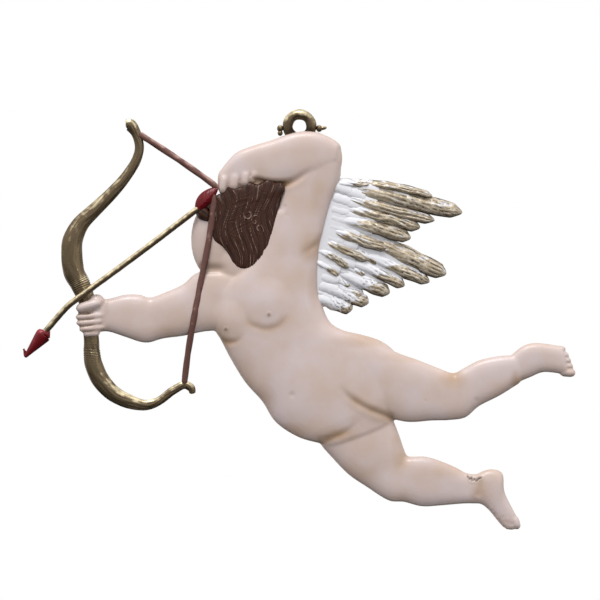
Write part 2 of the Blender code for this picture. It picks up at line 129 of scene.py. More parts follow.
HAIR: Chords = (
    (-14.8, -11.6, -3.2, -9.7), (-16.0, -13.0, -2.6, -10.7), (-16.2, -14.8, -3.4, -12.1),
    (-16.0, -16.6, -3.8, -14.1), (-15.8, -18.4, -4.2, -15.9), (-15.4, -19.9, -4.7, -18.1),
    (-13.8, -21.1, -5.1, -20.1), (-12.8, -22.4, -5.7, -21.7), (-12.1, -23.8, -6.7, -23.4),
    (-11.2, -24.8, -8.0, -24.7), (-10.5, -25.4, -8.9, -25.3),
)

# Flesh forms: chords, lift in mm and reach of the end domes as a share of half the end chord
FLESH_FORMS = (
    (TORSO, 0.0, DOME_REACH), (UPPER_ARM, 0.2, DOME_REACH), (FOREARM, 0.6, DOME_REACH),
    (BOW_ARM, 0.0, 0.2), (UPPER_LEG, 0.3, 0.5), (UPPER_FOOT, 0.1, 0.2),
    (LOWER_LEG, -0.3, DOME_REACH), (LOWER_FOOT, -0.2, DOME_REACH),
)

# Rounded pads: start x and z, end x and z, width, then lift of the middle and depth, both in mm
FLESH_PADS = (
    # cheek and chin, skull, neck
    (-15.4, -16.0, -15.4, -23.4, 8.4, 0.3, 3.0), (-10.2, -12.0, -10.2, -21.0, 9.0, 0.3, 3.4),
    (-13.0, -22.0, -9.0, -27.0, 8.0, 0.3, 3.0),
    # elbow of the raised arm
    (2.6, -5.0, 4.4, -8.2, 7.4, 0.5, 3.2),
    # ball of the thumb, thumb and four fingers round the bow
    (-36.9, -30.9, -36.3, -31.2, 3.0, 0.7, 2.4), (-39.6, -32.1, -36.4, -31.2, 1.9, 1.4, 2.2),
    (-39.9, -33.7, -35.8, -33.4, 1.4, 1.2, 1.8), (-39.8, -34.8, -35.8, -34.5, 1.35, 1.2, 1.8),
    (-39.3, -35.9, -35.8, -35.6, 1.3, 1.2, 1.7), (-38.6, -36.8, -36.4, -36.7, 1.1, 1.1, 1.5),
    # four fingers of the drawing hand
    (-13.6, -8.6, -13.9, -10.9, 1.7, 1.4, 2.2), (-11.6, -8.2, -11.9, -10.2, 2.1, 1.35, 2.3),
    (-9.7, -7.9, -9.9, -9.5, 2.0, 1.35, 2.3), (-8.2, -7.6, -8.4, -9.0, 1.6, 1.35, 2.1),
    # forehead, behind the hair and under the arm
    (-9.5, -9.9, -5.0, -9.9, 2.6, 0.2, 2.2),
    # toes of the upper foot, then of the lower foot
    (46.6, -39.4, 47.6, -39.5, 1.1, 0.2, 2.2), (47.0, -40.4, 48.2, -40.6, 1.1, 0.2, 2.2),
    (47.3, -41.4, 48.6, -41.6, 1.1, 0.2, 2.2), (47.5, -42.4, 49.0, -42.6, 1.1, 0.2, 2.2),
    (47.6, -43.7, 49.2, -43.8, 1.6, 0.2, 2.4),
    (36.6, -70.6, 37.0, -71.2, 0.9, 0.0, 2.0), (37.2, -71.0, 37.6, -71.7, 0.9, 0.0, 2.0),
    (37.9, -70.9, 38.2, -71.8, 0.9, 0.0, 2.0), (38.9, -70.2, 39.3, -71.5, 1.4, 0.0, 2.2),
)

# Soft swellings of the front: middle x and z, half widths along x and z, height in mm
SWELLINGS = (
    (-12.9, -34.6, 3.4, 4.2, 0.3), (-5.8, -31.4, 4.6, 5.2, 0.3), (2.5, -47.5, 9.0, 9.5, 0.3),
    (14.5, -44.5, 8.0, 7.0, 0.2), (-21.0, -32.5, 6.0, 5.0, 0.2), (11.0, -58.0, 6.0, 6.0, 0.2),
)

# Patches where the warm wash was left: middle x and z, half widths along x and z, strength
WASHES = (
    (2.6, -28.6, 1.4, 4.5, 0.4), (10.9, -37.9, 6.0, 1.6, 0.4), (27.7, -44.8, 3.0, 2.0, 0.45),
    (40.3, -45.3, 1.8, 1.3, 0.4), (25.9, -60.9, 4.6, 2.2, 0.35), (18.1, -57.8, 1.9, 4.6, 0.4),
    (-4.4, -9.6, 5.0, 1.4, 0.4), (1.9, -21.3, 2.2, 3.4, 0.35), (-10.0, -43.5, 2.6, 4.4, 0.35),
    (7.0, -55.0, 5.0, 2.0, 0.35), (-24.5, -36.6, 6.0, 1.6, 0.3), (33.0, -65.5, 2.6, 2.4, 0.25),
    (-14.0, -37.5, 1.8, 3.4, 0.3), (-6.4, -48.6, 2.6, 3.4, 0.4), (-1.4, -54.0, 4.2, 1.6, 0.4),
    (19.0, -41.0, 5.4, 1.2, 0.3), (10.5, -61.5, 4.0, 1.6, 0.25), (3.2, -12.0, 1.6, 4.0, 0.25),
)

BOW = (
    (-31.4, 1.0, 1.5), (-30.5, 0.9, 2.2), (-29.4, -0.8, 1.7), (-28.9, -3.2, 1.6), (-29.6, -5.7, 1.7),
    (-31.5, -8.6, 1.9), (-33.9, -11.4, 2.2), (-36.8, -14.2, 2.5), (-39.4, -16.8, 3.0),
    (-40.9, -19.7, 3.6), (-41.1, -22.5, 3.8), (-40.7, -25.6, 3.8), (-39.5, -28.0, 3.5),
    (-38.2, -31.6, 2.9), (-37.6, -37.3, 2.7), (-37.5, -39.8, 2.9), (-37.1, -42.4, 3.2),
    (-35.8, -45.2, 3.2), (-33.6, -47.5, 2.9), (-30.7, -49.0, 2.5), (-27.9, -49.6, 1.9),
    (-25.4, -48.9, 1.5), (-23.0, -47.1, 1.5), (-20.9, -46.0, 1.4), (-19.6, -46.5, 1.4), (-19.3, -47.6, 1.0),
)
STRING_UPPER = ((-28.9, -0.7, 0.1), (-22.0, -5.2, 0.9), (-16.2, -9.3, 1.6), (-14.6, -10.7, 1.6))
STRING_LOWER = (
    (-15.4, -11.6, 1.9), (-15.6, -14.5, 2.0), (-16.3, -19.7, 1.9), (-17.7, -27.0, 1.7),
    (-18.5, -31.0, 1.9), (-19.1, -34.3, 1.9), (-20.1, -40.1, 0.9), (-20.8, -45.8, 0.1),
)
ARROW = (
    (-17.2, -13.3, 1.8), (-27.8, -21.4, 1.7), (-38.4, -29.2, 1.8), (-40.3, -30.6, 1.8), (-42.4, -32.4, 1.5),
    (-47.0, -37.7, 0.6),
)
ARROW_HEAD = ((-46.2, -37.0, 0.6, 0.7), (-46.4, -37.2, 1.0, 0.7), (-49.6, -41.0, 0.2, 0.3))
ARROW_BARB = ((-49.3, -40.7, 0.3, 0.3), (-49.8, -39.4, 0.12, 0.3))
FLETCHING = (-18.6, -14.6, -14.6, -10.3, 2.5, 1.9, 1.7)

# Feathers: root x and z, tip x and z, width, lift in mm, then where the gold starts along it
UPPER_FEATHERS = (
    (5.5, -9.3, 12.9, -9.8, 1.5, 0.1, 0.6), (12.0, -9.4, 24.0, -11.9, 1.4, 0.25, -0.1),
    (8.0, -9.8, 29.4, -14.9, 3.0, 0.2, 0.08), (7.0, -11.4, 24.4, -16.3, 2.2, 0.3, 0.22),
    (7.0, -13.4, 21.8, -17.6, 2.5, 0.3, 0.28), (6.0, -15.4, 20.1, -19.5, 2.7, 0.4, 0.38),
    (5.0, -17.4, 16.0, -21.3, 2.2, 0.4, 0.25), (4.0, -19.4, 12.5, -23.4, 1.9, 0.4, 0.25),
    (3.0, -21.2, 9.1, -24.8, 1.8, 0.4, 0.4), (2.6, -23.2, 7.2, -26.2, 1.6, 0.3, 0.6),
)
LOWER_FEATHERS = (
    (12.0, -18.8, 26.5, -26.0, 3.1, -0.1, 0.2), (10.0, -21.2, 23.5, -27.4, 2.4, 0.0, 0.5),
    (8.0, -23.0, 19.0, -28.1, 2.3, 0.1, 0.6), (6.0, -24.8, 16.3, -29.4, 2.7, 0.1, 0.65),
    (3.5, -27.0, 12.5, -31.2, 2.6, 0.1, 0.75), (2.0, -29.4, 9.6, -32.3, 2.8, 0.1, 0.8),
    (3.0, -23.4, 14.5, -28.0, 2.4, -0.1, 0.9), (2.6, -25.6, 11.6, -30.0, 2.4, -0.1, 0.85),
    (2.2, -28.0, 8.8, -31.4, 2.2, -0.1, 0.9), (7.5, -17.6, 17.6, -22.0, 2.4, -0.1, 0.8),
    (6.4, -19.6, 14.6, -24.0, 2.4, -0.1, 0.85), (5.0, -21.6, 12.2, -26.2, 2.3, -0.1, 0.85),
    (3.4, -24.2, 9.4, -28.2, 2.2, -0.1, 0.9),
)

# Where the gold starts on a covert, one of the small feathers near the body: past its tip, so it has none
COVERT = 2.0

# A feather's width from its root to its tip, as shares, and the slope of its streaks in degrees
FEATHER_PROFILE = ((0.0, 0.7), (0.3, 1.0), (0.7, 1.02), (0.9, 0.88), (1.0, 0.6))
FEATHER_SLOPE = 18.0

# The wing's plates, from its top edge to its foot
WING_SHOULDER: Chords = (
    (6.6, -9.2, 4.6, -30.8), (7.6, -9.6, 5.6, -29.4), (9.2, -10.2, 7.2, -27.0), (12.0, -11.2, 9.6, -22.4),
)
WING_BONES: Chords = (
    (6.2, -9.0, 5.2, -18.0), (9.0, -9.2, 6.5, -19.5), (14.0, -10.0, 10.0, -22.0), (20.0, -12.6, 14.0, -21.0),
)
WING_SKIRT: Chords = (
    (2.0, -17.0, 2.2, -32.4), (7.0, -17.5, 5.8, -31.4), (12.0, -18.6, 10.0, -29.0),
    (17.0, -20.2, 15.5, -27.6), (22.0, -23.2, 21.0, -26.2),
)

# Stations of the first and the last lock of hair, at their tops and their feet, then the curls: x, z, radius
LOCK_TOPS = ((-15.8, -11.6), (-3.0, -9.4))
LOCK_FEET = ((-13.2, -24.0), (-5.8, -25.0))
CURLS = ((-9.2, -15.1, 0.95), (-8.0, -16.4, 0.85), (-7.3, -17.9, 0.9))
SIDE_LOCK = ((-17.9, -13.6, 0.9), (-17.5, -14.6, 1.3), (-16.9, -15.6, 1.2), (-15.9, -16.6, 0.7))

# Camera and its frame: the picture is this wide at the ornament
PICTURE_WIDTH = 108.3 * MM
PICTURE_MIDDLE = Vector((0.09 * MM, 0.0, -32.56 * MM))
CAMERA_DISTANCE = 1.1

# The floor, well below the hanging ornament
FLOOR_Z = -0.75
FLOOR_HALF_WIDTH = 0.2


class Zone(Enum):
    """The paint zones, by the material slot of each."""

    FLESH = "flesh_paint"
    HAIR = "hair_paint"
    WING = "wing_paint"
    GOLD = "antique_gold"
    STRING = "string_paint"
    RED = "red_paint"


@dataclass(frozen=True)
class Finish:
    """The colours and gloss of one paint."""

    body: str
    light: str
    dark: str
    roughness: float
    metallic: float = 0.0
    patchiness: float = 0.15


FINISHES = {
    # Satin enamel brushed over cast tin: a soft broad shine, mauve and tan by turns, tan in the folds
    Zone.FLESH: Finish(body="#BBA69B", light="#C0B0AE", dark="#A0805F", roughness=0.42),
    # Brown enamel with a drier, lighter coat dragged over its ridges, dark in the hollows, and thin pale
    # lines painted on as highlights
    Zone.HAIR: Finish(body="#3C1F12", light="#A08A7C", dark="#1A0C06", roughness=0.3, patchiness=0.06),
    # Flat white enamel with gold dry-brushed over the carved ends: chalky white, streaks of dull gold
    Zone.WING: Finish(body="#D2D2D7", light="#9C8D76", dark="#2C2218", roughness=0.42),
    # Antique gold lacquer rubbed off the hollows of the cast metal: metal shine, cream on the raised edges
    # and as a painted highlight along the upper sides, darker as painted shade underneath
    Zone.GOLD: Finish(
        body="#655743", light="#E4D4B0", dark="#2A1F15", roughness=0.28, metallic=0.8, patchiness=0.1,
    ),
    # Umber and rose enamel on the cast strands: satin, paler where the strands stand out, with a painted
    # highlight on the upper side and painted shade underneath
    Zone.STRING: Finish(body="#60413A", light="#A08078", dark="#281612", roughness=0.4),
    # Crimson gloss enamel, thick and smooth: a small sharp shine on a deep red, with a paler red painted on
    # the upper edges as a highlight
    Zone.RED: Finish(body="#600810", light="#94303A", dark="#240305", roughness=0.26),
}

# Dark brown laid into the flesh paint as painted shade on its undersides and in its sharpest folds, and as
# the real dark of its nipples and its paint chip; and the cream that shows where gold is worn
SHADE_AND_MARK_BROWN = "#4A3A2E"
WORN_GOLD = "#C6BBAA"

# Sizes of the paints' patterns, in mm
MOTTLE = 6.0
WASH_PATCH = 2.2
BRUSH_GRAIN = 0.5
GOLD_STREAK = 0.55
WORN_STREAK = 0.3
CHALK = 0.3
RUBBED_PATCH = 1.2
RUBBED_GRAIN = 0.35


@dataclass(frozen=True)
class Crease:
    """A groove pressed into the flesh.

    Attributes:
        points: Stations along the groove.
        depth: Depth in mm.
        width: Half width in mm.
        wash: How much of the warm wash settles in it.
        fade: Shares of the length over which it starts and ends.
        dirt: How much dark brown is painted in it as shade.
    """

    points: Sequence[tuple[float, float]]
    depth: float
    width: float
    wash: float = 0.8
    fade: tuple[float, float] = (0.25, 0.25)
    dirt: float = 0.0


CREASES = (
    # forearm over the upper arm, armpit, neck over the shoulder
    Crease(((-8.7, -8.8), (-5.7, -9.6), (-2.3, -9.7), (0.2, -8.6), (2.7, -6.4)),
           0.35, 0.45, 0.6, (0.05, 0.6)),
    Crease(((4.6, -18.6), (3.4, -20.5), (1.0, -22.2), (-0.4, -23.6)), 0.16, 0.6, 0.5, (0.1, 0.7)),
    Crease(((-18.2, -24.6), (-15.4, -25.0), (-12.3, -24.9)), 0.25, 0.6, 0.4, (0.1, 0.6)),
    # undersides of the chest
    Crease(((-9.9, -32.4), (-9.1, -34.7), (-7.8, -35.5), (-5.9, -35.9), (-3.8, -35.3), (-2.5, -34.0),
            (-1.8, -32.5)),
           0.09, 0.5, 0.62, (0.3, 0.3)),
    Crease(((-15.6, -36.9), (-14.0, -38.0), (-12.3, -38.3), (-11.0, -37.9), (-9.9, -36.4)),
           0.13, 0.45, 0.65, (0.05, 0.5)),
    # fold of the belly, fold of the thigh
    Crease(((3.3, -56.2), (6.1, -55.4), (8.2, -54.5), (9.9, -53.2), (11.2, -51.5)),
           0.15, 0.5, 0.65, (0.02, 0.6)),
    Crease(((6.9, -45.3), (8.4, -47.5), (10.3, -49.0), (12.4, -50.2), (14.6, -51.1), (16.9, -51.9)),
           0.18, 0.5, 0.8, (0.5, 0.02), 0.25),
    # backs of the knees, ankle, elbow and wrist of the bow arm
    Crease(((28.0, -43.6), (27.9, -45.2), (27.3, -46.8)), 0.1, 0.6, 0.3, (0.02, 0.7)),
    Crease(((19.4, -58.6), (18.6, -60.4), (17.4, -61.8)), 0.1, 0.6, 0.3, (0.02, 0.7)),
    Crease(((38.6, -46.3), (39.0, -44.4), (39.1, -42.8)), 0.12, 0.5, 0.5, (0.02, 0.6)),
    Crease(((31.8, -62.2), (32.4, -64.0), (32.2, -66.6)), 0.14, 0.5, 0.5),
    Crease(((-27.0, -30.1), (-26.6, -34.0), (-27.0, -38.6)), 0.07, 0.8, 0.1, (0.05, 0.6)),
    Crease(((-35.2, -30.7), (-35.0, -33.4), (-35.6, -36.0)), 0.16, 0.4, 0.2, (0.1, 0.3)),
    # between the fingers round the bow
    Crease(((-40.2, -33.1), (-38.1, -33.0), (-36.6, -32.5)), 0.24, 0.2, 0.6, (0.1, 0.4), 0.9),
    Crease(((-40.2, -34.3), (-38.1, -34.2), (-36.3, -34.0)), 0.14, 0.16, 0.5, (0.1, 0.5), 0.6),
    Crease(((-39.9, -35.4), (-38.1, -35.3), (-36.3, -35.0)), 0.14, 0.16, 0.5, (0.1, 0.5), 0.6),
    Crease(((-39.1, -36.3), (-37.8, -36.3), (-36.4, -36.1)), 0.12, 0.15, 0.5, (0.1, 0.5), 0.6),
    # between the fingers of the drawing hand
    Crease(((-13.0, -11.0), (-12.8, -9.4), (-12.7, -8.2)), 0.12, 0.2, 0.3, (0.0, 0.6)),
    Crease(((-10.9, -10.5), (-10.7, -8.8), (-10.6, -7.6)), 0.12, 0.2, 0.3, (0.0, 0.6)),
    Crease(((-9.1, -9.9), (-8.9, -8.2), (-8.8, -7.2)), 0.12, 0.2, 0.3, (0.0, 0.6)),
)

# Small pits and nubs: x, z, radius and depth in mm, where a minus sign raises a nub
DIMPLES = (
    (-1.3, -47.7, 0.5, 0.1), (-5.5, -33.2, 0.26, -0.2), (-13.2, -35.8, 0.24, -0.2),
    (-2.7, -13.8, 0.3, 0.08), (-2.3, -15.3, 0.3, 0.06), (22.7, -48.8, 0.25, 0.05), (31.9, -48.7, 0.4, 0.08),
    # rough casting at the toes of the lower foot
    (34.6, -68.2, 0.25, -0.05), (35.3, -69.3, 0.25, 0.06), (35.9, -69.9, 0.25, -0.06),
    (36.7, -69.8, 0.3, 0.05), (37.1, -70.6, 0.25, 0.06), (37.7, -70.3, 0.25, -0.06),
    (38.4, -71.0, 0.25, 0.06), (38.7, -69.8, 0.25, 0.04),
)

# A chip in the paint at the lower ankle
CHIP = (
    (30.3, -62.4), (30.7, -63.0), (31.0, -62.6), (31.2, -63.3), (31.6, -62.9), (31.9, -63.3), (32.3, -62.8),
    (32.7, -62.7),
)


def linear(colour: str) -> tuple[float, float, float, float]:
    """Turns an sRGB hex colour into linear light.

    Args:
        colour: A colour such as "#C0A878".

    Returns:
        Red, green, blue and alpha in linear light.
    """
    channels = (int(colour[i:i + 2], 16) / 255.0 for i in (1, 3, 5))
    red, green, blue = (c / 12.92 if c <= 0.04045 else ((c + 0.055) / 1.055) ** 2.4 for c in channels)
    return red, green, blue, 1.0


def smooth_rows(rows: Sequence[Row], steps: int) -> np.ndarray:
    """Puts smooth rows between the given rows, on Catmull-Rom curves.

    Args:
        rows: Rows of numbers.
        steps: Rows made for each given stretch.

    Returns:
        The given rows and those between them.
    """
    given = np.array(rows, dtype=float)
    padded = np.vstack((given[:1], given, given[-1:]))
    t = np.arange(steps)[:, None] / steps
    weights = np.hstack((
        (-t + 2 * t**2 - t**3) / 2,
        (2 - 5 * t**2 + 3 * t**3) / 2,
        (t + 4 * t**2 - 3 * t**3) / 2,
        (t**3 - t**2) / 2,
    ))
    parts = [weights @ padded[i:i + 4] for i in range(len(given) - 1)]
    return np.vstack((*parts, given[-1:]))


def at_share(rows: np.ndarray, share: np.ndarray) -> np.ndarray:
    """Reads rows at shares of their count.

    Args:
        rows: One row for each step.
        share: Places from 0, the first row, to 1, the last.

    Returns:
        A row for each share, straight between its neighbours.
    """
    steps = np.linspace(0.0, 1.0, len(rows))
    return np.stack([np.interp(share, steps, rows[:, i]) for i in range(rows.shape[1])], axis=1)


def step_up(value: np.ndarray, low: float, high: float) -> np.ndarray:
    """Rises smoothly from 0 at low to 1 at high."""
    t = np.clip((value - low) / (high - low), 0.0, 1.0)
    return t * t * (3.0 - 2.0 * t)


def bell(gap: np.ndarray, width: float) -> np.ndarray:
    """Falls smoothly from 1 at no distance, over about the width, to 0."""
    return np.exp(-((gap / width) ** 2))


def spot(stations: np.ndarray, row: Row) -> np.ndarray:
    """Falls from 1 at the middle of an oval to 0 at its edge.

    Args:
        stations: Places, one x and z a row.
        row: The oval's middle x and z and its half widths along x and z.

    Returns:
        A share for each place.
    """
    x, z, half_x, half_z = row
    square = ((stations[:, 0] - x) / half_x) ** 2 + ((stations[:, 1] - z) / half_z) ** 2
    return np.clip(1.0 - square, 0.0, 1.0)


def squared(value: np.ndarray) -> np.ndarray:
    """Turns a sine or cosine of a round section into that of a squared one."""
    return np.sign(value) * np.abs(value) ** SECTION_POWER


def points_at(x: np.ndarray, z: np.ndarray, lift: np.ndarray) -> np.ndarray:
    """Places stations in the row frame.

    Args:
        x: Stations along the width, in hundredths.
        z: Stations in height, in hundredths.
        lift: Heights towards the front, in mm.

    Returns:
        Points in metres.
    """
    return np.stack((x * HUNDREDTH, -lift * MM, z * HUNDREDTH + SEAT_Z), axis=1)


def grain(across: np.ndarray, along: np.ndarray, seed: int, lines: float) -> np.ndarray:
    """The height of fine lines that run along a form and wander a little.

    Args:
        across: Place across the lines, 0 to 1.
        along: Place along them, 0 to 1.
        seed: Picks the pattern.
        lines: Lines from edge to edge.

    Returns:
        Heights from 0, in a groove, to 1, on a ridge.
    """
    rng = np.random.default_rng(seed)
    height = np.zeros_like(across)
    for share, weight in GRAIN_OCTAVES:
        phase, drift, pace, wander = rng.uniform(0.0, 1.0, 4)
        wave = 0.5 * (0.3 + wander) * np.sin(2 * math.pi * ((1.0 + 2.0 * pace) * along + phase))
        turn = across * lines * share + wave + (drift - 0.5) * along * share + phase
        height += weight * np.abs(np.sin(math.pi * turn))
    return height


def distance_to(points: np.ndarray, path: np.ndarray) -> tuple[np.ndarray, np.ndarray]:
    """Measures how far points are from a path in the plane.

    Args:
        points: Places, one x and z a row.
        path: Places along the path.

    Returns:
        The distances, and the share of the path's length at each nearest place.
    """
    best = np.full(len(points), np.inf)
    share = np.zeros(len(points))
    legs = path[1:] - path[:-1]
    lengths = np.linalg.norm(legs, axis=1)
    travelled = np.concatenate(([0.0], np.cumsum(lengths)))
    for start, leg, length, before in zip(path, legs, lengths, travelled):
        t = np.clip((points - start) @ leg / max(length * length, 1e-12), 0.0, 1.0)
        gap = np.linalg.norm(points - start - t[:, None] * leg, axis=1)
        closer = gap < best
        best[closer] = gap[closer]
        share[closer] = (before + t[closer] * length) / travelled[-1]
    return best, share


Shape = Callable[[np.ndarray, np.ndarray], tuple[np.ndarray, dict[str, np.ndarray]]]


def wrap(mesh: bmesh.types.BMesh, along: int, around: int, shape: Shape) -> None:
    """Wraps a net round a closed form and welds its seam and its two poles.

    Args:
        mesh: The mesh that the form joins.
        along: Cells from end to end.
        around: Cells round it.
        shape: Gives the points, and named values for the paint, at shares along and around.
    """
    verts = bmesh.ops.create_grid(mesh, x_segments=along, y_segments=around, size=0.5)["verts"]
    net = np.array([vert.co[:] for vert in verts]) + 0.5
    points, values = shape(net[:, 0], net[:, 1])
    layers = {name: mesh.verts.layers.float[name] for name in values}
    for i, vert in enumerate(verts):
        vert.co = points[i]
        for name, layer in layers.items():
            vert[layer] = values[name][i]
    bmesh.ops.remove_doubles(mesh, verts=verts, dist=WELD)


def loft_sections(chords: Chords, steps: int, reach: float) -> np.ndarray:
    """Lays sections over chords, with a dome past each end.

    Args:
        chords: Pairs of stations, one on each edge.
        steps: Sections for each given stretch.
        reach: How far the domes reach, as a share of half the end chord.

    Returns:
        Rows of middle x and z, half chord x and z, and depth as a share of the full depth.
    """
    rows = smooth_rows(chords, steps)
    middles = (rows[:, :2] + rows[:, 2:]) / 2
    halves = (rows[:, 2:] - rows[:, :2]) / 2
    widths = np.linalg.norm(halves, axis=1)
    depths = np.minimum(1.0, widths / FULL_HALF_WIDTH) ** DEPTH_POWER
    body = np.column_stack((middles, halves, depths))
    turns = np.linspace(0.0, math.pi / 2, DOME_STEPS)[:-1]
    domes = []
    for end, inner in ((0, 1), (-1, -2)):
        ahead = middles[end] - middles[inner]
        ahead *= widths[end] * reach / np.linalg.norm(ahead)
        domes.append(np.array([
            (*(middles[end] + ahead * math.cos(turn)), *(halves[end] * math.sin(turn)),
             depths[end] * math.sin(turn))
            for turn in turns
        ]))
    return np.vstack((domes[0], body, domes[1][::-1]))


@dataclass
class Piece:
    """One paint zone of the casting, as a closed mesh that stands for the casting's solid.

    Attributes:
        paint_values: Names of the values that the mesh carries for the paint.
        name: The piece's name.
        zone: Its paint.
    """

    paint_values: ClassVar[tuple[str, ...]] = ("ridge", "gold")
    name: str = ""
    zone: Zone = Zone.FLESH

    def fill(self, mesh: bmesh.types.BMesh) -> None:
        """Puts the zone's forms into the mesh.

        Args:
            mesh: An empty mesh.
        """
        raise NotImplementedError

    def build(self, paints: "PaintShop") -> bpy.types.Object:
        """Makes the zone's object, paints it and hangs it on the frame.

        Args:
            paints: Where the zone's material comes from.

        Returns:
            The finished object.
        """
        mesh = bmesh.new()
        for value in self.paint_values:
            mesh.verts.layers.float.new(value)
        self.fill(mesh)
        bmesh.ops.recalc_face_normals(mesh, faces=mesh.faces)
        data = bpy.data.meshes.new(self.name)
        mesh.to_mesh(data)
        mesh.free()
        return self.hang(data, paints)

    def hang(self, data: bpy.types.Mesh, paints: "PaintShop") -> bpy.types.Object:
        """Puts a finished mesh into the scene, painted and riding on the frame.

        Args:
            data: The finished mesh.
            paints: Where the zone's material comes from.

        Returns:
            The finished object.
        """
        data.shade_smooth()
        data.materials.clear()
        data.materials.append(paints.material(self.zone))
        piece = bpy.data.objects.new(self.name, data)
        bpy.context.scene.collection.objects.link(piece)
        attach(piece, BODY)
        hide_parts(NODE)
        LOG.info("%s: %d faces", self.name, len(data.polygons))
        return piece

    def loft(self, mesh: bmesh.types.BMesh, chords: Chords, front: float, back: float,
             lift: float = 0.0, reach: float = DOME_REACH, steps: int = 6, around: int = 64,
             ridge: float = 1.0) -> None:
        """Lays a rounded form over its chords.

        Args:
            mesh: The mesh that the form joins.
            chords: Pairs of stations, one on each edge.
            front: Full height of the front, in mm.
            back: Full height of the back, in mm.
            lift: How far the form's middle is to the front, in mm.
            reach: How far the end domes reach.
            steps: Sections for each given stretch.
            around: Cells round the form.
            ridge: How pale the paint is, from 0 to 1.
        """
        sections = loft_sections(chords, steps, reach)

        def shape(u: np.ndarray, v: np.ndarray) -> tuple[np.ndarray, dict[str, np.ndarray]]:
            x, z, half_x, half_z, depth = at_share(sections, u).T
            across, side = squared(np.cos(2 * math.pi * v)), squared(np.sin(2 * math.pi * v))
            height = np.where(side > 0, front, back) * depth * side
            points = points_at(x + half_x * across, z + half_z * across, lift + height)
            return points, {"ridge": np.full_like(u, ridge)}

        wrap(mesh, len(sections) - 1, around, shape)

    def egg(self, mesh: bmesh.types.BMesh, row: Row, segments: int = 32, blunt: float = 1.0) -> None:
        """Adds an egg from one station to another.

        Args:
            mesh: The mesh that the egg joins.
            row: Start x and z, end x and z, width, then lift and depth in mm.
            segments: Facets round the egg.
            blunt: Power along its length, where less than 1 makes its ends blunter.
        """
        x1, z1, x2, z2, width, lift, depth = row
        start, end = points_at(np.array((x1, x2)), np.array((z1, z2)), np.array((lift, lift)))
        along = Vector(end - start)
        half_width = width * HUNDREDTH / 2
        forward = along.normalized()
        side = forward.cross(Vector((0, 1, 0)))
        half_length = along.length / 2 + half_width * EGG_END
        axes = (side * half_width, Vector((0, depth * MM / 2, 0)), forward * half_length)
        turn = Matrix((axes[0], axes[1], axes[2])).transposed().to_4x4()
        place = Matrix.Translation(Vector((start + end) / 2)) @ turn
        made = bmesh.ops.create_uvsphere(mesh, u_segments=segments, v_segments=segments // 2, radius=1.0)
        ridge = mesh.verts.layers.float["ridge"]
        for vert in made["verts"]:
            vert.co.z = math.copysign(abs(vert.co.z) ** blunt, vert.co.z)
            vert.co = place @ vert.co
            # Painted highlight and shade: an egg's paint is paler on its upper side and darker on its lower
            # side
            vert[ridge] = 0.6 + 0.4 * (vert.co.z - place.translation.z) / half_width


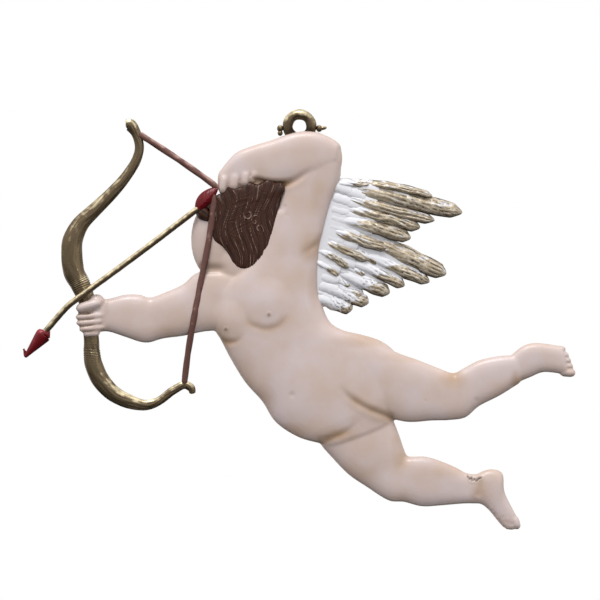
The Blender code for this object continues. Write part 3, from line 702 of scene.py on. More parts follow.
@dataclass
class Flesh(Piece):
    """The child's body: one smooth skin, with its folds pressed in.

    Attributes:
        front: Full height of the front, in mm.
        back: Full height of the back, in mm.
        cell: Cell of the skin, in metres.
        passes: Smoothing passes over the skin.
        finger: Pads narrower than this, in hundredths, are fingers and toes with blunt ends.
        bluntness: Power along a finger or toe.
        swell: Power of a swelling from its edge to its middle.
        rim: Height of the rim beside a crease, as a share of its depth, and its place in half widths.
        edge_wash: How much wash is left where the form turns away.
        under_painted_shade: How much painted shade darkens its undersides, where its faces turn downwards.
        wash_reach: Half widths of a crease over which the wash spreads.
        shade_reach: Half widths of a crease over which its painted shade spreads.
        nub: Nubs higher than this, in mm, have a dark ring.
        chip: The chip's half width in hundredths and its depth in mm.
        chip_rim: Place, half width and height of the rim round the chip.
    """

    name: str = "flesh"
    zone: Zone = Zone.FLESH
    front: float = 2.6
    back: float = 1.4
    cell: float = 0.24 * MM
    passes: int = 5
    finger: float = 3.0
    bluntness: float = 0.6
    swell: float = 1.6
    rim: tuple[float, float] = (0.15, 2.2)
    edge_wash: float = 0.7
    under_painted_shade: float = 0.3
    wash_reach: float = 2.0
    shade_reach: float = 0.8
    nub: float = 0.1
    chip: tuple[float, float] = (0.13, 0.14)
    chip_rim: tuple[float, float, float] = (0.3, 0.12, 0.1)

    def fill(self, mesh: bmesh.types.BMesh) -> None:
        """Puts the body's rounded forms into the mesh.

        Args:
            mesh: An empty mesh.
        """
        for chords, lift, reach in FLESH_FORMS:
            self.loft(mesh, chords, self.front, self.back, lift, reach)
        for row in FLESH_PADS:
            self.egg(mesh, row, blunt=self.bluntness if row[4] < self.finger else 1.0)

    def hang(self, data: bpy.types.Mesh, paints: "PaintShop") -> bpy.types.Object:
        """Fuses the forms into one skin and presses the folds in before it is hung.

        Args:
            data: The mesh of overlapping forms.
            paints: Where the flesh paint comes from.

        Returns:
            The finished object.
        """
        forms = bpy.data.objects.new("flesh forms", data)
        bpy.context.scene.collection.objects.link(forms)
        fuse = forms.modifiers.new("one skin", "REMESH")
        fuse.mode = "VOXEL"
        fuse.voxel_size = self.cell
        soften = forms.modifiers.new("soften", "SMOOTH")
        soften.factor = 0.5
        soften.iterations = self.passes
        bpy.context.view_layer.update()
        skin = bpy.data.meshes.new_from_object(forms.evaluated_get(bpy.context.evaluated_depsgraph_get()))
        bpy.data.objects.remove(forms)
        self.press(skin)
        return super().hang(skin, paints)

    def press(self, skin: bpy.types.Mesh) -> None:
        """Raises the swellings and presses the creases, dimples and chip into the skin.

        Args:
            skin: The fused skin, which is changed.
        """
        count = len(skin.vertices)
        points, normals = np.empty(count * 3), np.empty(count * 3)
        skin.vertices.foreach_get("co", points)
        skin.vertex_normals.foreach_get("vector", normals)
        points, normals = points.reshape(-1, 3), normals.reshape(-1, 3)
        stations = np.stack((points[:, 0] / HUNDREDTH, (points[:, 2] - SEAT_Z) / HUNDREDTH), axis=1)
        front = step_up(-normals[:, 1], 0.05, 0.6)
        rise = np.zeros(count)
        wash = self.edge_wash * step_up(1.0 - np.abs(normals[:, 1]), 0.25, 1.0)
        # Painted shade: the flesh is darkened towards dark brown where its faces turn downwards
        dirt = self.under_painted_shade * step_up(-normals[:, 2], 0.55, 1.0)
        for *oval, height in SWELLINGS:
            rise += height * spot(stations, oval) ** self.swell
        for *oval, strength in WASHES:
            wash += strength * front * spot(stations, oval)
        for crease in CREASES:
            gap, share = distance_to(stations, smooth_rows(crease.points, 6))
            start, end = crease.fade
            fade = step_up(share, -0.01, max(start, 0.001)) * step_up(1.0 - share, -0.01, max(end, 0.001))
            rim_height, rim_place = self.rim
            rise -= crease.depth * fade * bell(gap, crease.width)
            rise += rim_height * crease.depth * fade * bell(gap - rim_place * crease.width, crease.width)
            # Painted shade: dark brown laid along the sharpest folds and between the fingers
            dirt += crease.dirt * fade * front * bell(gap, self.shade_reach * crease.width)
            wash += crease.wash * fade * front * bell(gap, self.wash_reach * crease.width)
        for x, z, radius, depth in DIMPLES:
            gap = np.hypot(stations[:, 0] - x, stations[:, 1] - z)
            rise -= depth * bell(gap, radius)
            wash += 2.5 * abs(depth) * front * bell(gap, 1.3 * radius)
            # The raised nipples get a dark brown ring of their own paint
            if depth < -self.nub:
                dirt += 0.5 * front * bell(gap - 0.6 * radius, 0.5 * radius)
        gap, _ = distance_to(stations, np.array(CHIP))
        chip_width, chip_depth = self.chip
        rim_place, rim_width, rim_height = self.chip_rim
        chip = front * bell(gap, chip_width)
        rise -= chip_depth * chip - rim_height * front * bell(gap - rim_place, rim_width)
        points += normals * (rise * front * MM)[:, None]
        skin.vertices.foreach_set("co", points.ravel())
        # The dark brown value: painted shade, the nipples' paint and the real chip in the paint
        for name, values in (("wash", np.clip(wash, 0.0, 1.0)), ("dirt", np.clip(dirt + chip, 0.0, 1.0))):
            skin.attributes.new(name, "FLOAT", "POINT").data.foreach_set("value", values)
        skin.update()


@dataclass
class Hair(Piece):
    """The head of hair: a rounded mass with wavy locks, each of fine strands, on both faces.

    Attributes:
        swells: How far the front and the back swell, in mm.
        edges: How high the front and the back stand at the hair's edge, in mm.
        swell_power: Power of the swell across the hair, where less is flatter.
        reach: How far the end domes reach.
        scallop: Height of the scallops of the top edge, in hundredths, and their pace.
        locks: Locks from edge to edge.
        strands: Strands in a lock.
        wave: How far the locks wave, in hundredths, how often, and how far each lags the next.
        relief: Height of the strands, in mm.
        lock_share: The locks' share of that height, where the strands have the rest.
        shines: Places for the fine painted highlight lines from edge to edge.
        shine_relief: Height of the ridges under the painted highlight lines, in mm.
        around: Cells round the hair.
    """

    name: str = "hair"
    zone: Zone = Zone.HAIR
    swells: tuple[float, float] = (1.1, 1.6)
    edges: tuple[float, float] = (1.4, 0.5)
    swell_power: float = 0.5
    reach: float = 0.2
    scallop: tuple[float, float] = (0.35, 1.9)
    locks: int = 9
    strands: int = 3
    wave: tuple[float, float, float] = (0.75, 1.2, 0.4)
    relief: float = 0.42
    lock_share: float = 0.4
    shines: int = 17
    shine_relief: float = 0.1
    around: int = 300

    def flow(self, x: np.ndarray, z: np.ndarray) -> tuple[np.ndarray, np.ndarray]:
        """Follows the locks back from a station.

        Args:
            x: Stations along the width.
            z: Stations in height.

        Returns:
            The share across the locks and the share down them.
        """
        top, foot = np.array(LOCK_TOPS), np.array(LOCK_FEET)
        height, turns, lag = self.wave
        across = np.full_like(x, 0.5)
        down = np.zeros_like(x)
        for _ in range(6):
            start = top[0] + (top[1] - top[0]) * across[:, None]
            end = foot[0] + (foot[1] - foot[0]) * across[:, None]
            down = (z - start[:, 1]) / (end[:, 1] - start[:, 1])
            wave = height * np.sin(2 * math.pi * (turns * down + lag * across))
            left = top[0, 0] + (foot[0, 0] - top[0, 0]) * down
            right = top[1, 0] + (foot[1, 0] - top[1, 0]) * down
            across = 0.5 * across + 0.5 * (x - wave - left) / np.maximum(right - left, 2.0)
        return across, down

    def shine(self, x: np.ndarray, z: np.ndarray, across: np.ndarray, down: np.ndarray) -> np.ndarray:
        """Draws the fine painted highlight lines, broken here and there, and the little curls, painted as
        highlights too.

        Args:
            x: Stations along the width.
            z: Stations in height.
            across: Share across the locks.
            down: Share down the locks.

        Returns:
            1 on a painted highlight line and 0 off it.
        """
        wander = 0.4 * np.sin(2 * math.pi * (1.6 * down + 2.0 * across)) / self.shines
        shine = np.abs(np.sin(math.pi * self.shines * (across + wander))) ** 30
        shine *= step_up(np.sin(2 * math.pi * (1.4 * down + 3.7 * across)), -0.5, 0.1)
        for i, (curl_x, curl_z, radius) in enumerate(CURLS):
            gap = np.hypot(x - curl_x, (z - curl_z) * 0.8)
            angle = np.arctan2(z - curl_z, x - curl_x)
            spiral = np.abs(np.sin(0.5 * angle + math.pi * gap / radius + i)) ** 20
            shine = np.maximum(shine * step_up(gap, 0.6 * radius, radius), spiral * (gap < radius))
        return shine

    def fill(self, mesh: bmesh.types.BMesh) -> None:
        """Puts the hair's mass and the lock at the cheek into the mesh.

        Args:
            mesh: An empty mesh.
        """
        sections = loft_sections(HAIR, 24, self.reach)
        height, pace = self.scallop

        def shape(u: np.ndarray, v: np.ndarray) -> tuple[np.ndarray, dict[str, np.ndarray]]:
            x, z, half_x, half_z, depth = at_share(sections, u).T
            turn = 2 * math.pi * v
            x, z = x + half_x * np.cos(turn), z + half_z * np.cos(turn)
            z = z + height * np.sin(pace * x) * (1.0 - step_up(u, 0.03, 0.12))
            across, down = self.flow(x, z)
            lock = np.abs(np.sin(math.pi * self.locks * across)) ** 0.6
            strand = grain(across, down, 3, self.locks * self.strands)
            ridge = self.lock_share * lock + (1.0 - self.lock_share) * strand
            shine = self.shine(x, z, across, down)
            side = np.abs(np.sin(turn)) ** self.swell_power
            front = np.sin(turn) >= 0.0
            edge = np.where(front, *self.edges) * np.clip(2.0 * depth, 0.0, 1.0)
            swell = np.where(front, *self.swells) * depth * side
            carved = self.relief * (ridge - 0.5) + self.shine_relief * shine
            relief = carved * np.clip(depth, 0.0, 1.0) * side
            # The strands' paint is paler on their raised ridges; the fine lines and curls are painted
            # highlights
            return points_at(x, z, np.where(front, 1.0, -1.0) * (edge + swell + relief)), {
                "ridge": np.clip(0.72 * ridge**1.3 + 0.6 * shine * side, 0.0, 1.0),
            }

        wrap(mesh, len(sections) - 1, self.around, shape)
        self.side_lock(mesh)

    def side_lock(self, mesh: bmesh.types.BMesh) -> None:
        """Adds the small lock that curls in front of the string.

        Args:
            mesh: The mesh of the hair.
        """
        path = smooth_rows(SIDE_LOCK, 8)

        def shape(u: np.ndarray, v: np.ndarray) -> tuple[np.ndarray, dict[str, np.ndarray]]:
            x, z, width = at_share(path, u).T
            turn = 2 * math.pi * v
            end = np.sqrt(np.clip(1.0 - (2 * u - 1) ** 4, 0.0, 1.0))
            ridge = np.abs(np.sin(3 * turn + 4 * u))
            radius = width * end * (0.94 + 0.08 * ridge)
            places = x + 0.9 * radius * np.cos(turn), z + 0.4 * radius * np.cos(turn)
            return points_at(*places, 1.0 + radius * np.sin(turn)), {"ridge": 0.7 * ridge}

        wrap(mesh, 48, 48, shape)


@dataclass
class Wing(Piece):
    """The wing: thin plates under two rows of feathers that overlap like shingles.

    Attributes:
        plates: Each plate's chords, its half thickness in mm and how pale its paint is, where a darker plate
            is painted shade in the gaps between the feathers.
        depth: Thickness of a feather, in mm.
        covert_rows: Coverts in the column farthest from the tips.
        covert_columns: Columns of coverts.
        covert_step: Stations from one column and one row of coverts to the next.
        covert_reach: How far a covert runs along x and z, and its width.
        tilts: How far a feather and a covert lean like a shingle, in mm.
        barb: Height of the barbs, in mm.
        shaft: Height of the shaft, in mm.
        cells: Cells for each hundredth of a feather's length.
        around: Cells round a feather and round a covert.
    """

    name: str = "wing"
    zone: Zone = Zone.WING
    plates: tuple[tuple[Chords, float, float], ...] = (
        (WING_BONES, 0.8, 0.72), (WING_SKIRT, 0.8, 0.85), (WING_SHOULDER, 1.0, 1.0),
    )
    depth: float = 1.7
    covert_rows: int = 11
    covert_columns: int = 3
    covert_step: tuple[float, float] = (2.4, 1.75)
    covert_reach: tuple[float, float, float] = (4.4, -1.3, 2.9)
    tilts: tuple[float, float] = (0.4, 0.16)
    barb: float = 0.55
    shaft: float = 0.15
    cells: int = 7
    around: tuple[int, int] = (40, 28)

    def fill(self, mesh: bmesh.types.BMesh) -> None:
        """Puts the plates and the feathers into the mesh.

        Args:
            mesh: An empty mesh.
        """
        for chords, depth, ridge in self.plates:
            self.loft(mesh, chords, depth, depth, ridge=ridge)
        for i, row in enumerate((*UPPER_FEATHERS, *LOWER_FEATHERS, *self.coverts())):
            self.feather(mesh, row, i)

    def coverts(self) -> list[Row]:
        """Lays out the coverts, in columns from the body outwards.

        Returns:
            A row for each covert, as for a feather.
        """
        out, down = self.covert_step
        reach_x, reach_z, width = self.covert_reach
        rows = []
        for column in range(self.covert_columns):
            for row in range(self.covert_rows - 3 * column):
                x = 2.6 + out * column + 0.25 * (self.covert_rows - row)
                z = -10.0 - down * row - 0.9 * (column % 2)
                rows.append((x, z, x + reach_x, z + reach_z, width, 0.16 - 0.04 * column, COVERT))
        return rows

    def feather(self, mesh: bmesh.types.BMesh, row: Row, seed: int) -> None:
        """Adds one feather with a ragged edge, a shaft and fine barbs.

        Args:
            mesh: The mesh of the wing.
            row: Root and tip stations, width, lift in mm and where the gold starts.
            seed: Picks the feather's own grain.
        """
        x1, z1, x2, z2, width, lift, gold_from = row
        length = math.hypot(x2 - x1, z2 - z1)
        ahead = np.array((x2 - x1, z2 - z1)) / length
        up = np.array((-ahead[1], ahead[0]))
        profile = np.array(FEATHER_PROFILE)
        covert = gold_from == COVERT

        def shape(u: np.ndarray, v: np.ndarray) -> tuple[np.ndarray, dict[str, np.ndarray]]:
            turn = 2 * math.pi * v
            across, side = np.cos(turn), np.sin(turn)
            share = np.interp(u, profile[:, 0], profile[:, 1])
            end = np.sqrt(np.clip(u / 0.04, 0.0, 1.0)) * np.sqrt(np.clip((1.0 - u) / 0.08, 0.0, 1.0))
            sink = 0.6 * (1.0 - step_up(u, 0.0, 0.3))
            ragged = 1.0 + 0.07 * np.sin(2 * math.pi * (3.1 * u + 0.37 * seed)) * np.sin(math.pi * u)
            half = 0.54 * width * share * end * ragged
            bend = 0.25 * math.sin(1.7 * seed) * 4 * u * (1 - u)
            offset = half * across + bend
            x = x1 + ahead[0] * length * u + up[0] * offset
            z = z1 + ahead[1] * length * u + up[1] * offset
            strands = grain(0.5 + 0.5 * across, u, 20 + seed, 1.5 * width)
            slanted = grain(u * length / 3.0 - 0.5 * np.abs(across), across, 40 + seed, 2.6)
            barbs = 0.8 * strands + 0.2 * slanted
            shaft = bell(across - 0.1, 0.12) * (1.0 - step_up(u, 0.8, 1.0))
            crown = np.sqrt(np.clip(1.0 - np.abs(across) ** 3, 0.0, 1.0))
            depth = 0.5 * self.depth * end * share**0.3
            rough = step_up(u, gold_from - 0.25, gold_from + 0.1)
            carved = 0.06 if covert else 0.2 + 0.8 * rough
            relief = (self.barb * (barbs - 0.55) * carved + self.shaft * shaft * rough) * end
            height = lift + side * (depth * crown - sink * end + relief * np.abs(side))
            height -= self.tilts[covert] * across * end * np.abs(side)
            patch = grain(0.5 + 0.5 * across, u, 60 + seed, 1.3)
            gold = step_up(u + 0.3 * (patch - 0.5) - 0.12 * across, gold_from, gold_from + 0.12)
            # Painted highlight: patches along each feather's upper edge are kept white, without the gold
            pale = step_up(patch, 0.7, 0.85) * step_up(across, 0.0, 0.6)
            hollow = 1.0 - step_up(barbs, 0.3, 0.68)
            # Painted shade: a dark line along each feather's lower edge, where it lies over the next
            lower_edge_shade = step_up(-across, 0.6, 0.95) * step_up(u, 0.2, 0.5)
            lined = 0.0 if covert else step_up(u, 0.3, 0.6)
            dark = np.maximum(hollow * (0.05 + 0.7 * lined + 0.25 * gold),
                              0.9 * lower_edge_shade * (0.3 + 0.7 * gold))
            return points_at(x, z, height), {"gold": gold * (1.0 - 0.8 * pale), "ridge": 1.0 - dark}

        wrap(mesh, int(self.cells * length), self.around[covert], shape)


@dataclass
class Bar(Piece):
    """A bar along a smooth path, with a flattened round section.

    Attributes:
        brightness: How much paler than usual its paint is.
        rubbed: Paleness of its edges, of its face and of each mm of relief, then of the painted highlight on
            its upper side and of the painted shade on its underside.
    """

    brightness: float = 0.0
    rubbed: tuple[float, ...] = (0.26, 0.34, 2.5, 0.62, 0.14)

    def bar(self, mesh: bmesh.types.BMesh, rows: Sequence[Row], depth: float, steps: int, around: int,
            relief: Callable[[np.ndarray, np.ndarray], np.ndarray], rounding: float = 0.01) -> None:
        """Adds a bar with closed, rounded ends.

        Args:
            mesh: The mesh that the bar joins.
            rows: Rows of x, z, width in mm and lift in mm.
            depth: The bar's depth as a share of its width.
            steps: Sections for each given stretch.
            around: Cells round the bar.
            relief: Gives the height above the plain bar, in mm, at shares along and around.
            rounding: Share of the length over which an end rounds off.
        """
        path = smooth_rows(rows, steps)
        ahead = np.gradient(path[:, :2], axis=0)
        ahead /= np.maximum(np.linalg.norm(ahead, axis=1), 1e-9)[:, None]
        sections = np.column_stack((path, -ahead[:, 1], ahead[:, 0]))
        edges, face, standing, top, underside = self.rubbed

        def shape(u: np.ndarray, v: np.ndarray) -> tuple[np.ndarray, dict[str, np.ndarray]]:
            x, z, width, lift, side_x, side_z = at_share(sections, u).T
            turn = 2 * math.pi * v
            end = np.sqrt(np.clip(u / rounding, 0.0, 1.0)) * np.sqrt(np.clip((1.0 - u) / rounding, 0.0, 1.0))
            raised = relief(u, v)
            half = (0.5 * width + raised) * end
            x, z = x + side_x * half * np.cos(turn), z + side_z * half * np.cos(turn)
            height = lift + (0.5 * width * depth + raised) * end * np.sin(turn)
            # Painted highlight on the bar's upper side and painted shade on its underside, set by which way
            # each side faces
            upper = side_z * np.cos(turn)
            ridge = edges + face * np.abs(np.sin(turn)) + standing * raised + self.brightness
            ridge += np.where(upper > 0.0, top, underside) * upper
            return points_at(x, z, height), {"ridge": np.clip(ridge, 0.0, 1.0)}

        wrap(mesh, len(path) - 1, around, shape)


@dataclass
class Bow(Bar):
    """The bow: grooved limbs, wrapped bands at the grip, a knob above and a hook below.

    Attributes:
        depth: Thickness at its widest, in mm.
        grooves: Grooves round it and their depth, in mm.
        bands: Each wrapped band's place and half width, as shares of the length.
        wraps: Turns of the wrapping over the whole length and their height, in mm.
    """

    name: str = "bow"
    zone: Zone = Zone.GOLD
    depth: float = 2.4
    grooves: tuple[float, float] = (9.0, 0.09)
    bands: tuple[tuple[float, float], ...] = ((0.475, 0.014), (0.60, 0.02))
    wraps: tuple[float, float] = (210.0, 0.12)

    def fill(self, mesh: bmesh.types.BMesh) -> None:
        """Puts the bow into the mesh.

        Args:
            mesh: An empty mesh.
        """
        widest = max(width for _, _, width in BOW)
        rows = [(x, z, width, 0.0) for x, z, width in BOW]
        lines, line_depth = self.grooves
        turns, turn_height = self.wraps

        def relief(u: np.ndarray, v: np.ndarray) -> np.ndarray:
            wrapped = np.clip(sum(bell(u - middle, half) for middle, half in self.bands), 0.0, 1.0)
            return (line_depth * (grain(v, 6 * u, 5, lines) - 0.5)
                    + turn_height * wrapped * np.sin(2 * math.pi * u * turns))

        self.bar(mesh, rows, self.depth / widest, 24, 64, relief)


@dataclass
class Bowstring(Bar):
    """The string: two strands twisted together, drawn back to the hand.

    Attributes:
        width: Thickness of the string, in mm.
        pitch: Length of a twist, in hundredths.
        strand: How far the strands stand out, and how far the grooves lie in, in mm.
    """

    name: str = "bowstring"
    zone: Zone = Zone.STRING
    brightness: float = 0.05
    width: float = 1.15
    pitch: float = 8.0
    strand: tuple[float, float] = (0.06, 0.04)

    def fill(self, mesh: bmesh.types.BMesh) -> None:
        """Puts both lengths of the string into the mesh.

        Args:
            mesh: An empty mesh.
        """
        out, inside = self.strand
        for stations in (STRING_UPPER, STRING_LOWER):
            rows = [(x, z, self.width, lift) for x, z, lift in stations]
            length = sum(math.dist(a[:2], b[:2]) for a, b in zip(stations, stations[1:]))
            turns = length / self.pitch

            def relief(u: np.ndarray, v: np.ndarray, turns: float = turns) -> np.ndarray:
                return out * np.abs(np.cos(2 * math.pi * (v + turns * u))) - inside

            self.bar(mesh, rows, 1.0, max(12, 120 // len(stations)), 32, relief)


@dataclass
class ArrowShaft(Bar):
    """The arrow's plain round shaft, its paint a little uneven.

    Attributes:
        width: Thickness of the shaft, in mm.
        unevenness: Height of its brush marks, in mm.
    """

    name: str = "arrow_shaft"
    zone: Zone = Zone.GOLD
    brightness: float = 0.12
    width: float = 1.1
    unevenness: float = 0.05

    def fill(self, mesh: bmesh.types.BMesh) -> None:
        """Puts the shaft into the mesh.

        Args:
            mesh: An empty mesh.
        """
        rows = [(x, z, self.width, lift) for x, z, lift in ARROW]

        def relief(u: np.ndarray, v: np.ndarray) -> np.ndarray:
            return self.unevenness * (grain(v, 5 * u, 9, 4.0) - 0.5)

        self.bar(mesh, rows, 1.0, 40, 32, relief)


@dataclass
class ArrowHead(Bar):
    """The arrow's cone-shaped head with one barb.

    Attributes:
        width: Width of the head at its base, in mm.
        flatness: Depth of the head as a share of its width.
        unevenness: Height of its brush marks, in mm.
    """

    name: str = "arrow_head"
    zone: Zone = Zone.RED
    width: float = 2.8
    flatness: float = 0.8
    unevenness: float = 0.04

    def fill(self, mesh: bmesh.types.BMesh) -> None:
        """Puts the head and its barb into the mesh.

        Args:
            mesh: An empty mesh.
        """
        def relief(u: np.ndarray, v: np.ndarray) -> np.ndarray:
            return self.unevenness * np.sin(2 * math.pi * (2 * v + u))

        for stations, depth in ((ARROW_HEAD, self.flatness), (ARROW_BARB, 1.0)):
            rows = [(x, z, share * self.width, lift) for x, z, share, lift in stations]
            self.bar(mesh, rows, depth, 24, 40, relief, rounding=0.04)


@dataclass
class Fletching(Piece):
    """The leaf-shaped fletching, with grooves from its middle line.

    Attributes:
        widths: How wide it is above and below its middle line, as shares.
        barbs: Grooves along it.
        relief: Height of the barbs, in mm.
    """

    name: str = "arrow_fletching"
    zone: Zone = Zone.RED
    widths: tuple[float, float] = (1.25, 0.75)
    barbs: int = 7
    relief: float = 0.06

    def fill(self, mesh: bmesh.types.BMesh) -> None:
        """Puts the leaf into the mesh.

        Args:
            mesh: An empty mesh.
        """
        x1, z1, x2, z2, width, lift, depth = FLETCHING
        ahead = np.array((x2 - x1, z2 - z1)) / math.hypot(x2 - x1, z2 - z1)
        up = np.array((-ahead[1], ahead[0]))

        def shape(u: np.ndarray, v: np.ndarray) -> tuple[np.ndarray, dict[str, np.ndarray]]:
            turn = 2 * math.pi * v
            across, side = np.cos(turn), np.sin(turn)
            leaf = np.sin(math.pi * np.clip(u, 0.0, 1.0) ** 0.85) ** 0.7
            offset = 0.5 * width * leaf * np.where(across > 0, *self.widths) * across
            barb = np.abs(np.sin(math.pi * (self.barbs * u - 1.6 * np.abs(across))))
            shaft = bell(across, 0.15)
            full = 0.5 * depth * leaf * (1 - 0.4 * across**2)
            height = lift + side * (full + self.relief * leaf * (0.6 * barb + shaft))
            x = x1 + (x2 - x1) * u + up[0] * offset
            z = z1 + (z2 - z1) * u + up[1] * offset
            return points_at(x, z, height), {"ridge": 0.4 + 0.2 * barb + 0.15 * shaft}

        wrap(mesh, 90, 64, shape)


@dataclass
class HangingEye(Piece):
    """The round eye, with a painted highlight along its top and painted shade on its inner edge, seated
    between small scrolls.

    Attributes:
        hole: Width of the hole, in metres.
        bar: Thickness of the ring, in metres.
        knob: Width of a scroll's knob, in metres.
        seat: How far the ring lies inside its plain size, in mm, which the wear fills up again.
        knobs: Side, place outwards and upwards in knobs, and size of each knob.
    """

    name: str = "hanging_eye"
    zone: Zone = Zone.GOLD
    hole: float = EYE_HOLE
    bar: float = 1.9 * MM
    knob: float = 1.3 * MM
    seat: float = 0.04
    knobs: tuple[tuple[float, float, float, float], ...] = (
        (-1, 0.3, 0.25, 1.0), (-1, 0.3, -0.4, 0.8), (1, 0.35, 0.25, 1.0),
    )

    def fill(self, mesh: bmesh.types.BMesh) -> None:
        """Puts the ring and its scrolls into the mesh.

        Args:
            mesh: An empty mesh.
        """
        ring = (self.hole + self.bar) / 2

        def shape(u: np.ndarray, v: np.ndarray) -> tuple[np.ndarray, dict[str, np.ndarray]]:
            around, turn = 2 * math.pi * u, 2 * math.pi * v
            worn = 0.03 * np.sin(5 * around + 1.0) + 0.04 * np.abs(np.sin(1.5 * turn))
            bar = self.bar / 2 + (worn - self.seat) * MM
            reach = ring + bar * np.cos(turn)
            points = np.stack((
                reach * np.sin(around), bar * np.sin(turn), reach * np.cos(around) - self.hole / 2,
            ), axis=1)
            # Painted highlight along the ring's top and outer edge, painted shade on its lower part and inner
            # edge; its bumps of wear are paler too
            rubbed = (0.5 + 0.42 * np.cos(around) + 3.0 * worn) * (0.8 + 0.3 * np.cos(turn))
            return points, {"ridge": np.clip(rubbed, 0.0, 1.0)}

        wrap(mesh, 128, 48, shape)
        reach = (self.hole / 2 + self.bar) / HUNDREDTH
        knob, depth = self.knob / HUNDREDTH, self.knob / MM
        for side, out, up, share in self.knobs:
            x, z = side * (reach + out * knob), up * knob
            self.egg(mesh, (x - 0.05, z, x + 0.05, z, share * knob, 0.0, share * depth), 24)
        tip = (reach + 0.3 * knob, 0.2 * knob, reach + 1.2 * knob, 0.35 * knob)
        self.egg(mesh, (*tip, 0.55 * knob, 0.0, 0.55 * depth), 24)


def add_node(tree: bpy.types.NodeTree, kind: str, inputs: dict | None = None,
             **settings: object) -> bpy.types.Node:
    """Adds a shader node.

    Args:
        tree: The node tree.
        kind: The shader node's type, such as Bump.
        inputs: Values or output sockets, by the name or number of the input.
        **settings: Properties of the node.

    Returns:
        The new node.
    """
    node = tree.nodes.new(f"ShaderNode{kind}")
    for key, value in settings.items():
        setattr(node, key, value)
    for key, value in (inputs or {}).items():
        if isinstance(value, bpy.types.NodeSocket):
            tree.links.new(value, node.inputs[key])
        else:
            node.inputs[key].default_value = value
    return node


def per(size: float) -> float:
    """The noise scale at which a pattern repeats about every so many mm."""
    return 1.0 / (size * MM)


